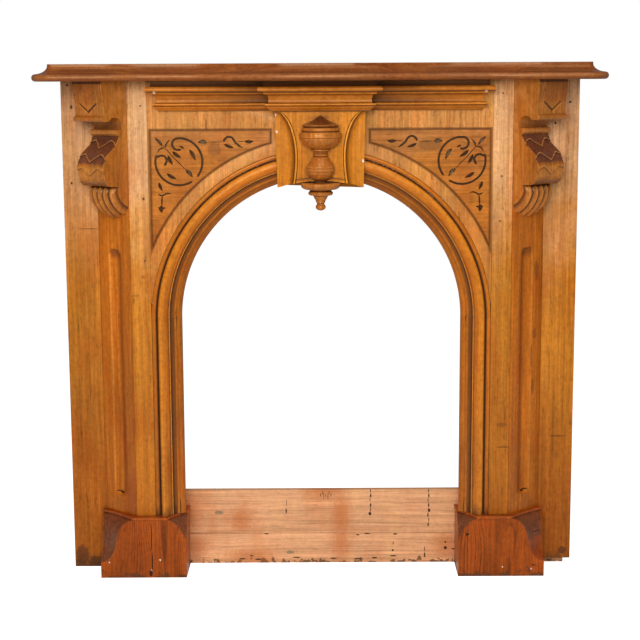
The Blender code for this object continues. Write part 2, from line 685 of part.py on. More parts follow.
def scale_height(across):
    """Edge of a carved scale, two lobes with a point between them, from -1 to 0."""
    reach = abs(across)
    if reach < 0.55:
        return -(1 - reach / 0.55)
    return -0.45 * ((reach - 0.55) / 0.45) ** 2


def carve(kind, across, travel):
    """How far the carving goes below the surface; travel runs down the surface from 0 to 1."""
    if kind == "scale":
        rows = 3
        phase = travel * rows + 0.55 * scale_height(across)
        return SCALE_DEPTH * (1 - (phase - math.floor(phase)))
    if kind == "leaf":
        lobe = abs(math.sin(math.pi * LEAF_LOBES * (across + 1) / 2))
        return LEAF_LOBE_DEPTH * (1 - lobe)
    return 0.0


def corbel_ring(across, travel_of, profile):
    """One slice of a corbel, as (proud, height) around its closed side outline."""
    ring = [(FIT_GAP, LEG_TOP)]
    for i, (proud, height, kind) in enumerate(profile):
        depth = carve(kind, across, travel_of[i])
        if kind == "leaf":
            height += 22 * CORBEL_GRID * abs(across) ** 2 * travel_of[i]
            proud -= 0.30 * proud * abs(across) ** 3
        ring.append((max(FIT_GAP + CORBEL_GRID, proud - depth), height))
    ring.append((FIT_GAP, ring[-1][1]))
    return ring


def build_corbels():
    profile = corbel_profile()
    travel_of = [0.0] * len(profile)
    for kind in ("scale", "leaf"):
        own = [i for i, point in enumerate(profile) if point[2] == kind]
        for order, i in enumerate(own):
            travel_of[i] = order / (len(own) - 1)
    along = Vector((-CANT_RUN, CANT_DEPTH)).normalized()
    out = Vector((along.y, -along.x))
    start = Vector((WING_INNER, WING_FRONT))
    for name, side in (("corbel_left", -1), ("corbel_right", 1)):
        rings = []
        for i in range(CORBEL_COLUMNS + 1):
            across = -1 + 2 * i / CORBEL_COLUMNS
            spot = start + along * (CORBEL_CENTER + across * CORBEL_WIDTH / 2)
            ring = []
            for proud, height in corbel_ring(across, travel_of, profile):
                plan = spot + out * proud
                ring.append(place(side, plan.x, plan.y, height))
            rings.append(ring)
        loft(name, rings, WAXED_PINE, smooth=True)


def build_leg(side, word):
    foot = RIGHT_WING_CUT if side > 0 else 0.0
    wing = ((WING_OUTER, WING_BACK), (WING_OUTER, WING_FRONT), (WING_INNER, WING_FRONT), (WING_INNER, WING_BACK))
    board(f"wing_board_{word}", side, wing, foot, LEG_TOP, WAXED_PINE)
    stile = ((STILE_OUTER, FRONT_BACK), (STILE_OUTER, FRONT), (STILE_INNER, FRONT), (STILE_INNER, FRONT_BACK))
    board(f"front_stile_{word}", side, stile, LEG_FOOT, LEG_TOP, WAXED_PINE)

    along = Vector((-CANT_RUN, CANT_DEPTH)).normalized()
    out = Vector((along.y, -along.x))
    outer_edge = WING_INNER - FIT_GAP
    inner_edge = STILE_OUTER + FIT_GAP
    slope = CANT_DEPTH / CANT_RUN
    face_at = lambda half: WING_FRONT + (WING_INNER - half) * slope
    back_drop = BOARD_THICKNESS / abs(out.y)
    back_half = outer_edge - (WING_BACK - (face_at(outer_edge) - back_drop)) / slope
    canted = ((outer_edge, face_at(outer_edge)), (inner_edge, face_at(inner_edge)),
              (inner_edge, face_at(inner_edge) - back_drop), (back_half, WING_BACK), (outer_edge, WING_BACK))
    pilaster = board(f"canted_pilaster_{word}", side, canted, LEG_FOOT, LEG_TOP, WAXED_PINE)

    radius = (FLUTE_WIDTH ** 2 / 4 + FLUTE_DEPTH ** 2) / (2 * FLUTE_DEPTH)
    middle = Vector((WING_INNER, WING_FRONT)) + along * math.hypot(CANT_RUN, CANT_DEPTH) / 2
    axis = middle + out * (radius - FLUTE_DEPTH)
    end = FLUTE_WIDTH / 2
    rings = []
    sides = 24
    heights = []
    for i in range(6):
        angle = math.radians(90 * i / 5)
        heights.append((FLUTE_BOTTOM + end * (1 - math.sin(angle)), 1 - math.cos(angle)))
    heights = heights[::-1] + [(FLUTE_TOP - (z - FLUTE_BOTTOM), lift) for z, lift in heights]
    for height, lift in sorted(heights):
        spread = radius - FLUTE_DEPTH * lift
        ring = []
        for i in range(sides):
            angle = 2 * math.pi * i / sides
            spot = axis + along * spread * math.cos(angle) + out * spread * math.sin(angle)
            ring.append(place(side, spot.x, spot.y, height))
        rings.append(ring)
    cut(pilaster, loft(f"flute_cutter_{word}", rings, WAXED_PINE))


def scoop_share(height, start):
    """How far the scooped corner has drawn in at a height, from 0 at its start to 1 at the lip."""
    lip = FOOT_HEIGHT - FOOT_LIP_HEIGHT
    t = min(1.0, max(0.0, (height - start) / (lip - start)))
    return 1 - (1 - t ** 1.6) ** (1 / 1.6)


def foot_plan(height, proud=0.0):
    """Plan of a foot block at a height, as (half, depth)."""
    front = FRONT + FOOT_PROUD + proud
    outer_share = max(0.012, scoop_share(height, FOOT_OUTER_SCOOP_START))
    inner_share = max(0.012, scoop_share(height, FOOT_INNER_SCOOP_START))
    outer_half = FOOT_OUTER_HALF - FOOT_OUTER_SCOOP_WIDTH * outer_share
    inner_half = FOOT_INNER_HALF + FOOT_INNER_SCOOP_WIDTH * inner_share
    outer_end = Vector((FOOT_OUTER_HALF + proud, front - FOOT_OUTER_SCOOP_DEPTH * outer_share))
    inner_end = Vector((FOOT_INNER_HALF - proud, front - FOOT_INNER_SCOOP_DEPTH * inner_share))
    plan = [(FOOT_OUTER_HALF + proud, WING_BACK), tuple(outer_end)]
    steps = 5
    for i in range(1, steps):
        t = i / steps
        spot = outer_end.lerp(Vector((outer_half, front)), t)
        spot.y -= FOOT_SCOOP_HOLLOW * outer_share * math.sin(math.pi * t)
        plan.append(tuple(spot))
    plan += [(outer_half, front), (inner_half, front)]
    for i in range(1, steps):
        t = i / steps
        spot = Vector((inner_half, front)).lerp(inner_end, t)
        spot.y -= FOOT_SCOOP_HOLLOW * inner_share * math.sin(math.pi * t)
        plan.append(tuple(spot))
    plan += [tuple(inner_end), (FOOT_INNER_HALF - proud, WING_BACK)]
    return plan


def build_foot(side, word):
    lip = FOOT_HEIGHT - FOOT_LIP_HEIGHT
    rows = 12
    levels = [(0.0, 0.0)]
    for i in range(rows + 1):
        t = i / rows
        levels.append((FOOT_OUTER_SCOOP_START + (lip - FOOT_OUTER_SCOOP_START) * (1 - (1 - t) ** 1.7), 0.0))
    levels += [(lip + FIT_GAP, FOOT_LIP_PROUD), (FOOT_HEIGHT, FOOT_LIP_PROUD)]
    rings = [[place(side, half, depth, height) for half, depth in foot_plan(min(height, lip), proud)]
             for height, proud in levels]
    return loft(f"foot_block_{word}", rings, DARK_PINE, smooth=True)


def build_braces():
    half = WING_OUTER - BRACE_INSET
    lower = BRACE_LOWER_HEIGHT
    for name, bottom, top in (("hearth_brace_lower", 0.0, lower),
                              ("hearth_brace_upper", lower + FIT_GAP, lower + BRACE_UPPER_HEIGHT)):
        plan = ((-half, 0.0), (half, 0.0), (half, BRACE_THICKNESS), (-half, BRACE_THICKNESS))
        board(name, 1, plan, bottom, top, RAW_PINE)


def main():
    for item in list(bpy.data.objects):
        bpy.data.objects.remove(item, do_unlink=True)
    build_shelf()
    build_bed_mouldings()
    build_arch_board()
    build_spandrel_panels()
    build_arch_mouldings()
    build_keystone()
    build_urn()
    build_corbels()
    for side, word in ((-1, "left"), (1, "right")):
        build_leg(side, word)
        build_foot(side, word)
    build_braces()


main()
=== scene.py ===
"""A carved pine fireplace mantel with a round arch, scroll corbels and a half-turned urn.

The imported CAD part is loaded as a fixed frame.  Each visible piece is modelled over it in the
same metres: +Z up, the front facing -Y.  "Depth" is measured forward from the wall plane,
"half" from the middle plane, and "height" from the floor.
"""

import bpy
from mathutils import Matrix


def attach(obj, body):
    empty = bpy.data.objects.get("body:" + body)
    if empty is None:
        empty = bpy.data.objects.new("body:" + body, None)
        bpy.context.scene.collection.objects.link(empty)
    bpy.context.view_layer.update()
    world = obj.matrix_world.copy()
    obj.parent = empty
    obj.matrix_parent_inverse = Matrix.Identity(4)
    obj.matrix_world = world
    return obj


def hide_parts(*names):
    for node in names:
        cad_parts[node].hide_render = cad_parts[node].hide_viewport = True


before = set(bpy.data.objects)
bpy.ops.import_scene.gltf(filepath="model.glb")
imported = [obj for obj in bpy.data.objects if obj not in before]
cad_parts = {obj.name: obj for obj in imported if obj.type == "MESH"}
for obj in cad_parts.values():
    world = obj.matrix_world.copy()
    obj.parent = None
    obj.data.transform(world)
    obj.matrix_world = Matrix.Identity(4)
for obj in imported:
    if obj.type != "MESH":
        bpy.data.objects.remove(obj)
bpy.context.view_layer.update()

import math

import bmesh
import bpy
from bpy.props import FloatProperty, FloatVectorProperty, IntProperty, PointerProperty
from mathutils import Vector
from mathutils.bvhtree import BVHTree

bl_info = {
    "name": "Carved Fireplace Mantel",
    "version": (1, 0, 0),
    "blender": (4, 5, 0),
    "location": "3D View > Sidebar > Mantel",
    "description": "Models and finishes a carved pine fireplace mantel piece by piece",
    "category": "Object",
}

# Fixed places of the mantel, in metres
OVERALL_HEIGHT = 1.325
FIT_GAP = 0.0003
BACK_Y = 0.131
SHELF_HALF = 0.710
SHELF_UNDERSIDE = 1.283
LEG_TOP = SHELF_UNDERSIDE - FIT_GAP
WING_BACK = 0.0203
WING_FRONT = 0.0423
WING_INNER = 0.573
CANT_RUN = 0.090
CANT_DEPTH = 0.077
STILE_OUTER = WING_INNER - CANT_RUN
STILE_INNER = STILE_OUTER - 0.050
FRONT = WING_FRONT + CANT_DEPTH
FRONT_BACK = FRONT - 0.022
FOOT_HEIGHT = 0.162
LEG_FOOT = FOOT_HEIGHT + FIT_GAP
MOULDING_OUTER = STILE_INNER - FIT_GAP
OPENING_RADIUS = MOULDING_OUTER - 0.0745
BED_BOTTOM = SHELF_UNDERSIDE - 0.075
PANEL_TOP = BED_BOTTOM - 0.045
SPRING_HEIGHT = PANEL_TOP - 0.0503 - MOULDING_OUTER
PANEL_OUTER = STILE_INNER - 0.0032
PANEL_ARC_RADIUS = MOULDING_OUTER + 0.030
KEY_TOP = BED_BOTTOM - FIT_GAP
KEY_BOTTOM = SPRING_HEIGHT + OPENING_RADIUS - 0.0212
KEY_TOP_HALF = 0.113
KEY_BOTTOM_HALF = 0.108
PANEL_INNER_HALF = KEY_TOP_HALF + 0.009
SCROLL_GRID = (PANEL_OUTER - PANEL_INNER_HALF) / 305


class ShelfSizes(bpy.types.PropertyGroup):
    """Sizes of the serpentine shelf."""

    bow_depth: FloatProperty(name="Bow Depth", description="Depth of the shelf at its middle",
                             default=0.262, unit="LENGTH")
    dip_depth: FloatProperty(name="Dip Depth", description="Depth where the edge draws in",
                             default=0.188, unit="LENGTH")
    ear_depth: FloatProperty(name="Ear Depth", description="Depth at the two ends",
                             default=0.212, unit="LENGTH")
    nose_height: FloatProperty(name="Nose Height", description="Height of the round nose",
                               default=0.018, unit="LENGTH")
    cove_depth: FloatProperty(name="Cove Depth", description="Depth of the hollow over the nose",
                              default=0.030, unit="LENGTH")
    corner_radius: FloatProperty(name="Corner Radius", description="Radius of the front corners",
                                 default=0.050, unit="LENGTH")


class MouldingSizes(bpy.types.PropertyGroup):
    """Sizes of the moulding round the opening and under the shelf."""

    bead_width: FloatProperty(name="Bead Width", description="Width of the outer bead",
                              default=0.012, unit="LENGTH")
    torus_width: FloatProperty(name="Torus Width", description="Width of the large round",
                               default=0.028, unit="LENGTH")
    groove_depth: FloatProperty(name="Groove Depth", description="Depth of the dark groove",
                                default=0.019, unit="LENGTH")
    arch_steps: IntProperty(name="Arch Steps", description="Steps in a quarter of the arch",
                            default=72)
    bed_reach: FloatProperty(name="Bed Reach", description="How far the bed moulding stands out",
                             default=0.036, unit="LENGTH")


class CarvingSizes(bpy.types.PropertyGroup):
    """Sizes of the carved work."""

    scale_depth: FloatProperty(name="Scale Depth", description="Depth of the carved scale edges",
                               default=0.0042, unit="LENGTH")
    leaf_depth: FloatProperty(name="Leaf Depth", description="Depth of the gaps between leaf lobes",
                              default=0.0105, unit="LENGTH")
    cut_depth: FloatProperty(name="Cut Depth", description="Depth of the incised lines on the blocks",
                             default=0.0022, unit="LENGTH")
    scroll_depth: FloatProperty(name="Scroll Depth", description="Depth of the scrolls in the panels",
                                default=0.0032, unit="LENGTH")
    edge_softness: FloatProperty(name="Edge Softness", description="Width of the worn board edges",
                                 default=0.0009, unit="LENGTH")
    urn_steps: IntProperty(name="Urn Steps", description="Steps round the half-turned urn", default=56)


class WoodColours(bpy.types.PropertyGroup):
    """Colours of the woods."""

    shelf: FloatVectorProperty(name="Shelf", description="Red-brown polish of the shelf",
                               default=(0.222, 0.060, 0.012), subtype="COLOR")
    boards: FloatVectorProperty(name="Boards", description="Waxed pine of the boards",
                                default=(0.45, 0.150, 0.013), subtype="COLOR")
    canted: FloatVectorProperty(name="Canted Boards", description="Deep orange of the canted boards",
                                default=(0.48, 0.128, 0.009), subtype="COLOR")
    front: FloatVectorProperty(name="Front Board", description="Paler pine round the arch",
                               default=(0.48, 0.168, 0.030), subtype="COLOR")
    mouldings: FloatVectorProperty(name="Mouldings", description="Orange-brown of the mouldings",
                                   default=(0.45, 0.120, 0.007), subtype="COLOR")
    panels: FloatVectorProperty(name="Panels", description="Brown of the spandrel panels",
                                default=(0.39, 0.118, 0.014), subtype="COLOR")
    keystone: FloatVectorProperty(name="Keystone", description="Golden polish of the keystone",
                                  default=(0.54, 0.170, 0.010), subtype="COLOR")
    carved: FloatVectorProperty(name="Carved Work", description="Brown of the corbels and the urn",
                                default=(0.40, 0.125, 0.018), subtype="COLOR")
    feet: FloatVectorProperty(name="Foot Blocks", description="Red-brown of the foot blocks",
                              default=(0.33, 0.060, 0.006), subtype="COLOR")
    raw: FloatVectorProperty(name="Raw Boards", description="Bare softwood across the hearth",
                             default=(0.66, 0.332, 0.168), subtype="COLOR")


# Plain geometry

def place(side, half, depth, height):
    """A point from its side (-1 left, 1 right), half width, depth from the wall and height."""
    return Vector((side * half, BACK_Y - depth, height))


def arc(center, radius, start, end, steps):
    """Points on an arc from start to end, in degrees."""
    points = []
    for i in range(steps + 1):
        angle = math.radians(start + (end - start) * i / steps)
        points.append((center[0] + radius * math.cos(angle), center[1] + radius * math.sin(angle)))
    return points


def bezier(start, start_handle, end_handle, end, steps):
    """Points on a cubic curve in a plane, without its first point."""
    points = []
    knots = (start, start_handle, end_handle, end)
    for i in range(1, steps + 1):
        t = i / steps
        weights = ((1 - t) ** 3, 3 * t * (1 - t) ** 2, 3 * t * t * (1 - t), t ** 3)
        points.append(tuple(sum(w * knot[axis] for w, knot in zip(weights, knots)) for axis in (0, 1)))
    return points


def ease(t):
    """A share from 0 to 1 with a soft start and end."""
    t = min(1.0, max(0.0, t))
    return t * t * (3 - 2 * t)


# Modelling

def start_fresh():
    """Object mode with nothing selected."""
    if bpy.context.object and bpy.context.object.mode != "OBJECT":
        bpy.ops.object.mode_set(mode="OBJECT")
    bpy.ops.object.select_all(action="DESELECT")


def swept(name, rings, layers=None):
    """A solid from a section drawn at the first ring and extruded from ring to ring.

    Layers give each point of each ring a value to store under a name.
    """
    layers = layers or {}
    start_fresh()
    bpy.ops.mesh.primitive_circle_add(vertices=len(rings[0]), radius=0.01, fill_type="NGON")
    item = bpy.context.active_object
    item.name = name
    item.data.name = name
    bpy.ops.object.mode_set(mode="EDIT")
    bm = bmesh.from_edit_mesh(item.data)
    bm.verts.layers.int.new("order")
    for key in layers:
        bm.verts.layers.float.new(key)
    order = bm.verts.layers.int["order"]
    bm.verts.ensure_lookup_table()
    for i, vert in enumerate(bm.verts):
        vert[order] = i
        vert.co = rings[0][i]
        for key, rows in layers.items():
            vert[bm.verts.layers.float[key]] = rows[0][i]
    bmesh.update_edit_mesh(item.data)
    for row, ring in enumerate(rings[1:], 1):
        bpy.ops.mesh.extrude_region_move()
        bm = bmesh.from_edit_mesh(item.data)
        order = bm.verts.layers.int["order"]
        for vert in bm.verts:
            if vert.select:
                i = vert[order]
                vert.co = ring[i]
                for key, rows in layers.items():
                    vert[bm.verts.layers.float[key]] = rows[row][i]
        bmesh.update_edit_mesh(item.data)
    bpy.ops.mesh.select_all(action="SELECT")
    bpy.ops.mesh.remove_doubles(threshold=0.000002)
    bpy.ops.mesh.normals_make_consistent(inside=False)
    bpy.ops.object.mode_set(mode="OBJECT")
    item.data.attributes.remove(item.data.attributes["order"])
    return item


def turned(name, outline, steps):
    """Half of a turned piece: a closed outline of (radius, height) spun half round at the origin."""
    start_fresh()
    bpy.ops.mesh.primitive_circle_add(vertices=len(outline), radius=0.01, fill_type="NGON")
    item = bpy.context.active_object
    item.name = name
    item.data.name = name
    bpy.ops.object.mode_set(mode="EDIT")
    bm = bmesh.from_edit_mesh(item.data)
    bm.verts.ensure_lookup_table()
    for vert, (radius, height) in zip(bm.verts, outline):
        vert.co = (radius, 0.0, height)
    bmesh.update_edit_mesh(item.data)
    bpy.ops.mesh.spin(steps=steps, angle=math.pi, center=(0, 0, 0), axis=(0, 0, 1))
    bpy.ops.mesh.select_all(action="SELECT")
    bpy.ops.mesh.remove_doubles(threshold=0.00002)
    bpy.ops.mesh.normals_make_consistent(inside=False)
    bpy.ops.object.mode_set(mode="OBJECT")
    return item


def copied(node):
    """A copy of a CAD node with its triangles merged into clean faces."""
    start_fresh()
    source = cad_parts[node]
    item = source.copy()
    item.data = source.data.copy()
    item.animation_data_clear()
    for key in list(item.keys()):
        del item[key]
    item.parent = None
    bpy.context.scene.collection.objects.link(item)
    item.name = node + "_dressed"
    item.data.name = item.name
    item.select_set(True)
    bpy.context.view_layer.objects.active = item
    if item.data.has_custom_normals:
        bpy.ops.mesh.customdata_custom_splitnormals_clear()
    bpy.ops.object.mode_set(mode="EDIT")
    bpy.ops.mesh.select_all(action="SELECT")
    bpy.ops.mesh.remove_doubles(threshold=0.00001)
    bpy.ops.mesh.mark_sharp(clear=True)
    bpy.ops.mesh.dissolve_limited(angle_limit=math.radians(0.5))
    bpy.ops.object.mode_set(mode="OBJECT")
    return item


def make_active(item):
    """Selects one piece alone and makes it the active one."""
    start_fresh()
    item.select_set(True)
    bpy.context.view_layer.objects.active = item


def apply_modifier(item, kind, **settings):
    """Adds a modifier with its settings and applies it."""
    make_active(item)
    modifier = item.modifiers.new(kind.title(), kind)
    for key, value in settings.items():
        setattr(modifier, key, value)
    bpy.ops.object.modifier_apply(modifier=modifier.name)


def soften(item, width, segments=2, angle=30):
    """Rounds the sharp edges of a piece."""
    apply_modifier(item, "BEVEL", width=width, segments=segments, limit_method="ANGLE",
                   angle_limit=math.radians(angle), use_clamp_overlap=True)


def cut_away(item, cutter):
    """Takes the cutter's space out of a piece and deletes the cutter."""
    apply_modifier(item, "BOOLEAN", operation="DIFFERENCE", solver="EXACT", object=cutter)
    mesh = cutter.data
    bpy.data.objects.remove(cutter)
    bpy.data.meshes.remove(mesh)


def smooth(item, angle=32):
    """Smooth shading, with edges over the angle kept sharp."""
    make_active(item)
    bpy.ops.object.shade_smooth_by_angle(angle=math.radians(angle))


def store_grain(item, place_of):
    """Stores where each point lies in the plank it came from, with the grain along the third direction."""
    layer = item.data.attributes.new("grain_place", "FLOAT_VECTOR", "POINT")
    for vert in item.data.vertices:
        layer.data[vert.index].vector = place_of(vert.co)


def upright(co):
    """Place in a board whose grain runs up."""
    return co


def lengthwise(co):
    """Place in a board whose grain runs from left to right."""
    return Vector((co.z, co.y, co.x))


def side_normals(mesh):
    """Point normals from the small faces alone, so that a flat end doesn't turn the points on its rim."""
    normals = [Vector((0, 0, 0)) for _ in mesh.vertices]
    for face in mesh.polygons:
        if len(face.vertices) > 4:
            continue
        for i in face.vertices:
            normals[i] += face.normal * face.area
    for i, vert in enumerate(mesh.vertices):
        normals[i] = normals[i].normalized() if normals[i].length > 0 else vert.normal.copy()
    return normals


def enclosed(tree, spot, normal, reach, rays=14):
    """Share of the directions over a point that meet wood within reach."""
    across = normal.orthogonal().normalized()
    third = normal.cross(across)
    golden = math.pi * (3 - math.sqrt(5))
    blocked = 0.0
    for k in range(rays):
        rise = (k + 0.5) / rays
        flat = math.sqrt(1 - rise * rise)
        turn = k * golden
        ray = normal * rise + across * (flat * math.cos(turn)) + third * (flat * math.sin(turn))
        hit = tree.ray_cast(spot + normal * 0.0003, ray, reach)
        if hit[0] is not None:
            blocked += 1 - 0.6 * hit[3] / reach
    return blocked / rays


def store_hollows(pieces):
    """Stores how enclosed each point is, from afar and from close by, and how sharp an edge it lies on."""
    corners = []
    faces = []
    for item, _ in pieces:
        start = len(corners)
        corners += [vert.co.copy() for vert in item.data.vertices]
        faces += [[start + i for i in face.vertices] for face in item.data.polygons]
    tree = BVHTree.FromPolygons(corners, faces)
    for item, fine in pieces:
        if not fine:
            continue
        mesh = item.data
        names = ("hollow", "crease", "edge")
        for name in names:
            mesh.attributes.new(name, "FLOAT", "POINT")
        hollow, crease, edge = (mesh.attributes[name] for name in names)
        normals = side_normals(mesh)
        bends = [0.0] * len(mesh.vertices)
        counts = [0] * len(mesh.vertices)
        for a, b in (line.vertices for line in mesh.edges):
            along = mesh.vertices[b].co - mesh.vertices[a].co
            if along.length < 1e-7:
                continue
            along.normalize()
            bends[a] -= along.dot(normals[a])
            bends[b] += along.dot(normals[b])
            counts[a] += 1
            counts[b] += 1
        for i, vert in enumerate(mesh.vertices):
            facing = tree.ray_cast(vert.co + normals[i] * 0.0002, normals[i], 0.0015)
            if facing[0] is None:
                hollow.data[i].value = enclosed(tree, vert.co, normals[i], 0.030)
                crease.data[i].value = enclosed(tree, vert.co, normals[i], 0.007, 10)
            edge.data[i].value = max(0.0, min(1.0, 2.5 * bends[i] / max(1, counts[i])))


# Node helpers

def feed(tree, node, feeds):
    """Links or sets a node's inputs, given as sockets or as values."""
    for key, value in feeds.items():
        if isinstance(value, bpy.types.NodeSocket):
            tree.links.new(value, node.inputs[key])
        else:
            node.inputs[key].default_value = value


def add_node(tree, kind, feeds=None, **settings):
    """A node with its settings and its inputs."""
    made = tree.nodes.new(kind)
    for key, value in settings.items():
        setattr(made, key, value)
    feed(tree, made, feeds or {})
    return made


def calc(tree, operation, first, second=0.0, third=0.0, clamp=False):
    """The result of a Math node."""
    feeds = {0: first, 1: second}
    if operation in ("MULTIPLY_ADD", "COMPARE"):
        feeds[2] = third
    return add_node(tree, "ShaderNodeMath", feeds, operation=operation, use_clamp=clamp).outputs[0]


def times(tree, first, second):
    """The product of two values."""
    return calc(tree, "MULTIPLY", first, second)


def share(tree, value, low, high, to_low=0.0, to_high=1.0, smooth_step=True):
    """A value's share of the way from low to high, clamped."""
    feeds = {"Value": value, "From Min": low, "From Max": high, "To Min": to_low, "To Max": to_high}
    kind = "SMOOTHSTEP" if smooth_step else "LINEAR"
    return add_node(tree, "ShaderNodeMapRange", feeds, interpolation_type=kind).outputs["Result"]


def blend_colour(tree, factor, first, second, kind="MIX"):
    """Two colours, given as sockets or as values, blended by a factor."""
    made = tree.nodes.new("ShaderNodeMix")
    made.data_type = "RGBA"
    made.blend_type = kind
    for socket, value in ((made.inputs[0], factor), (made.inputs[6], first), (made.inputs[7], second)):
        if isinstance(value, bpy.types.NodeSocket):
            tree.links.new(value, socket)
        elif socket == made.inputs[0]:
            socket.default_value = value
        else:
            socket.default_value = tuple(value)[:3] + (1.0,)
    return made.outputs[2]


def scaled(tree, vector, x, y, z):
    """A vector scaled by its own factor along each axis."""
    feeds = {0: vector, 1: (x, y, z)}
    return add_node(tree, "ShaderNodeVectorMath", feeds, operation="MULTIPLY").outputs[0]


def noise(tree, vector, scale, detail=2.0, roughness=0.5):
    """The value of a noise texture at a place."""
    feeds = {"Vector": vector, "Scale": scale, "Detail": detail, "Roughness": roughness}
    return add_node(tree, "ShaderNodeTexNoise", feeds).outputs["Fac"]


def new_group(name, inputs, outputs):
    """A node group with named sockets, and its two end nodes."""
    group = bpy.data.node_groups.new(name, "ShaderNodeTree")
    for label, kind, default in inputs:
        socket = group.interface.new_socket(label, in_out="INPUT", socket_type=kind)
        if default is not None:
            socket.default_value = default
    for label, kind in outputs:
        group.interface.new_socket(label, in_out="OUTPUT", socket_type=kind)
    return group, group.nodes.new("NodeGroupInput"), group.nodes.new("NodeGroupOutput")


FLOAT = "NodeSocketFloat"
VECTOR = "NodeSocketVector"


def grain_group():
    """Growth rings, fine fibres and broad figure of pine, from a place in the plank."""
    inputs = (("Place", VECTOR, None), ("Ring Width", FLOAT, 0.012), ("Wander", FLOAT, 1.0),
              ("Start", FLOAT, 0.0))
    outputs = (("Rings", FLOAT), ("Fibre", FLOAT), ("Figure", FLOAT), ("Flecks", FLOAT))
    group, start, end = new_group("pine_grain", inputs, outputs)
    offset = add_node(group, "ShaderNodeCombineXYZ", {axis: start.outputs["Start"] for axis in range(3)})
    spot = add_node(group, "ShaderNodeVectorMath", {0: start.outputs["Place"], 1: offset.outputs[0]},
                    operation="ADD").outputs[0]
    wave = noise(group, scaled(group, spot, 9.0, 9.0, 1.6), 1.0, 2.0, 0.45)
    drift = noise(group, scaled(group, spot, 38.0, 38.0, 2.2), 1.0, 1.0, 0.4)
    parts = add_node(group, "ShaderNodeSeparateXYZ", {0: spot})
    across = calc(group, "MULTIPLY_ADD", parts.outputs[1], 0.45, parts.outputs[0])
    swing = times(group, calc(group, "SUBTRACT", wave, 0.5), 0.105)
    swing = times(group, swing, start.outputs["Wander"])
    across = calc(group, "ADD", across, swing)
    across = calc(group, "MULTIPLY_ADD", calc(group, "SUBTRACT", drift, 0.5), 0.012, across)
    turns = calc(group, "DIVIDE", across, start.outputs["Ring Width"])
    saw = calc(group, "FRACT", turns)
    line = share(group, saw, 0.45, 0.93)
    fall = share(group, saw, 0.95, 1.0, 1.0, 0.0)
    rings = times(group, line, fall)
    ebb = noise(group, scaled(group, spot, 30.0, 30.0, 3.0), 1.0, 1.0)
    strength = share(group, ebb, 0.3, 0.7, 0.35, 1.0)
    group.links.new(times(group, rings, strength), end.inputs["Rings"])
    fine = noise(group, scaled(group, spot, 330.0, 330.0, 7.0), 1.0, 3.0, 0.65)
    streak = noise(group, scaled(group, spot, 120.0, 120.0, 2.6), 1.0, 2.0, 0.6)
    group.links.new(calc(group, "MULTIPLY_ADD", streak, 0.5, times(group, fine, 0.5)),
                    end.inputs["Fibre"])
    flecks = noise(group, scaled(group, spot, 210.0, 210.0, 34.0), 1.0, 2.0, 0.5)
    group.links.new(share(group, flecks, 0.60, 0.72), end.inputs["Flecks"])
    broad = noise(group, scaled(group, spot, 11.0, 11.0, 2.4), 1.0, 3.0, 0.55)
    group.links.new(broad, end.inputs["Figure"])


def finish_and_light_group():
    """Masks of the finish and of painted light: a painted sheen on tops, dirt and painted shade in hollows,
    worn edges with painted highlights, floor grime and pits.
    """
    inputs = (("Place", VECTOR, None), ("Hollow", FLOAT, 0.0), ("Crease", FLOAT, 0.0), ("Edge", FLOAT, 0.0),
              ("Sheen Low", FLOAT, 0.7), ("Sheen High", FLOAT, 1.2), ("Grime Height", FLOAT, 0.05))
    outputs = (("Top Sheen", FLOAT), ("Hollow Shade And Dirt", FLOAT), ("Rubbed And Lit", FLOAT), ("Grime", FLOAT), ("Pits", FLOAT),
               ("Mottle", FLOAT), ("Red", FLOAT), ("Golden", FLOAT))
    group, start, end = new_group("finish_and_painted_light", inputs, outputs)
    spot = start.outputs["Place"]
    height = add_node(group, "ShaderNodeSeparateXYZ", {0: spot}).outputs[2]
    cloud = noise(group, spot, 7.0, 3.0, 0.6)
    patch = noise(group, spot, 55.0, 3.0, 0.6)
    uneven = calc(group, "MULTIPLY_ADD", calc(group, "SUBTRACT", cloud, 0.5), 0.55, height)
    top_sheen = share(group, uneven, start.outputs["Sheen Low"], start.outputs["Sheen High"])
    group.links.new(top_sheen, end.inputs["Top Sheen"])
    deep = times(group, share(group, start.outputs["Hollow"], 0.22, 0.75), 0.75)
    tight = share(group, start.outputs["Crease"], 0.10, 0.50)
    group.links.new(calc(group, "MAXIMUM", deep, tight), end.inputs["Hollow Shade And Dirt"])
    group.links.new(noise(group, spot, 95.0, 4.0, 0.75), end.inputs["Mottle"])
    patchiness = share(group, patch, 0.35, 0.65, 0.25, 1.0)
    rubbed_and_lit_edge = calc(group, "MULTIPLY", start.outputs["Edge"], patchiness, clamp=True)
    group.links.new(rubbed_and_lit_edge, end.inputs["Rubbed And Lit"])
    rough_height = calc(group, "MULTIPLY_ADD", calc(group, "SUBTRACT", patch, 0.5), -0.09, height)
    group.links.new(share(group, rough_height, start.outputs["Grime Height"], 0.0), end.inputs["Grime"])
    cells = add_node(group, "ShaderNodeTexVoronoi", {"Vector": spot, "Scale": 26.0, "Randomness": 1.0})
    small = calc(group, "LESS_THAN", cells.outputs["Distance"], 0.035)
    pick = add_node(group, "ShaderNodeSeparateColor", {0: cells.outputs["Color"]})
    chosen = calc(group, "GREATER_THAN", pick.outputs[0], 0.62)
    group.links.new(times(group, small, chosen), end.inputs["Pits"])
    drift = noise(group, scaled(group, spot, 15.0, 15.0, 6.0), 1.0, 4.0, 0.62)
    group.links.new(share(group, drift, 0.50, 0.66), end.inputs["Red"])
    group.links.new(share(group, drift, 0.49, 0.36), end.inputs["Golden"])


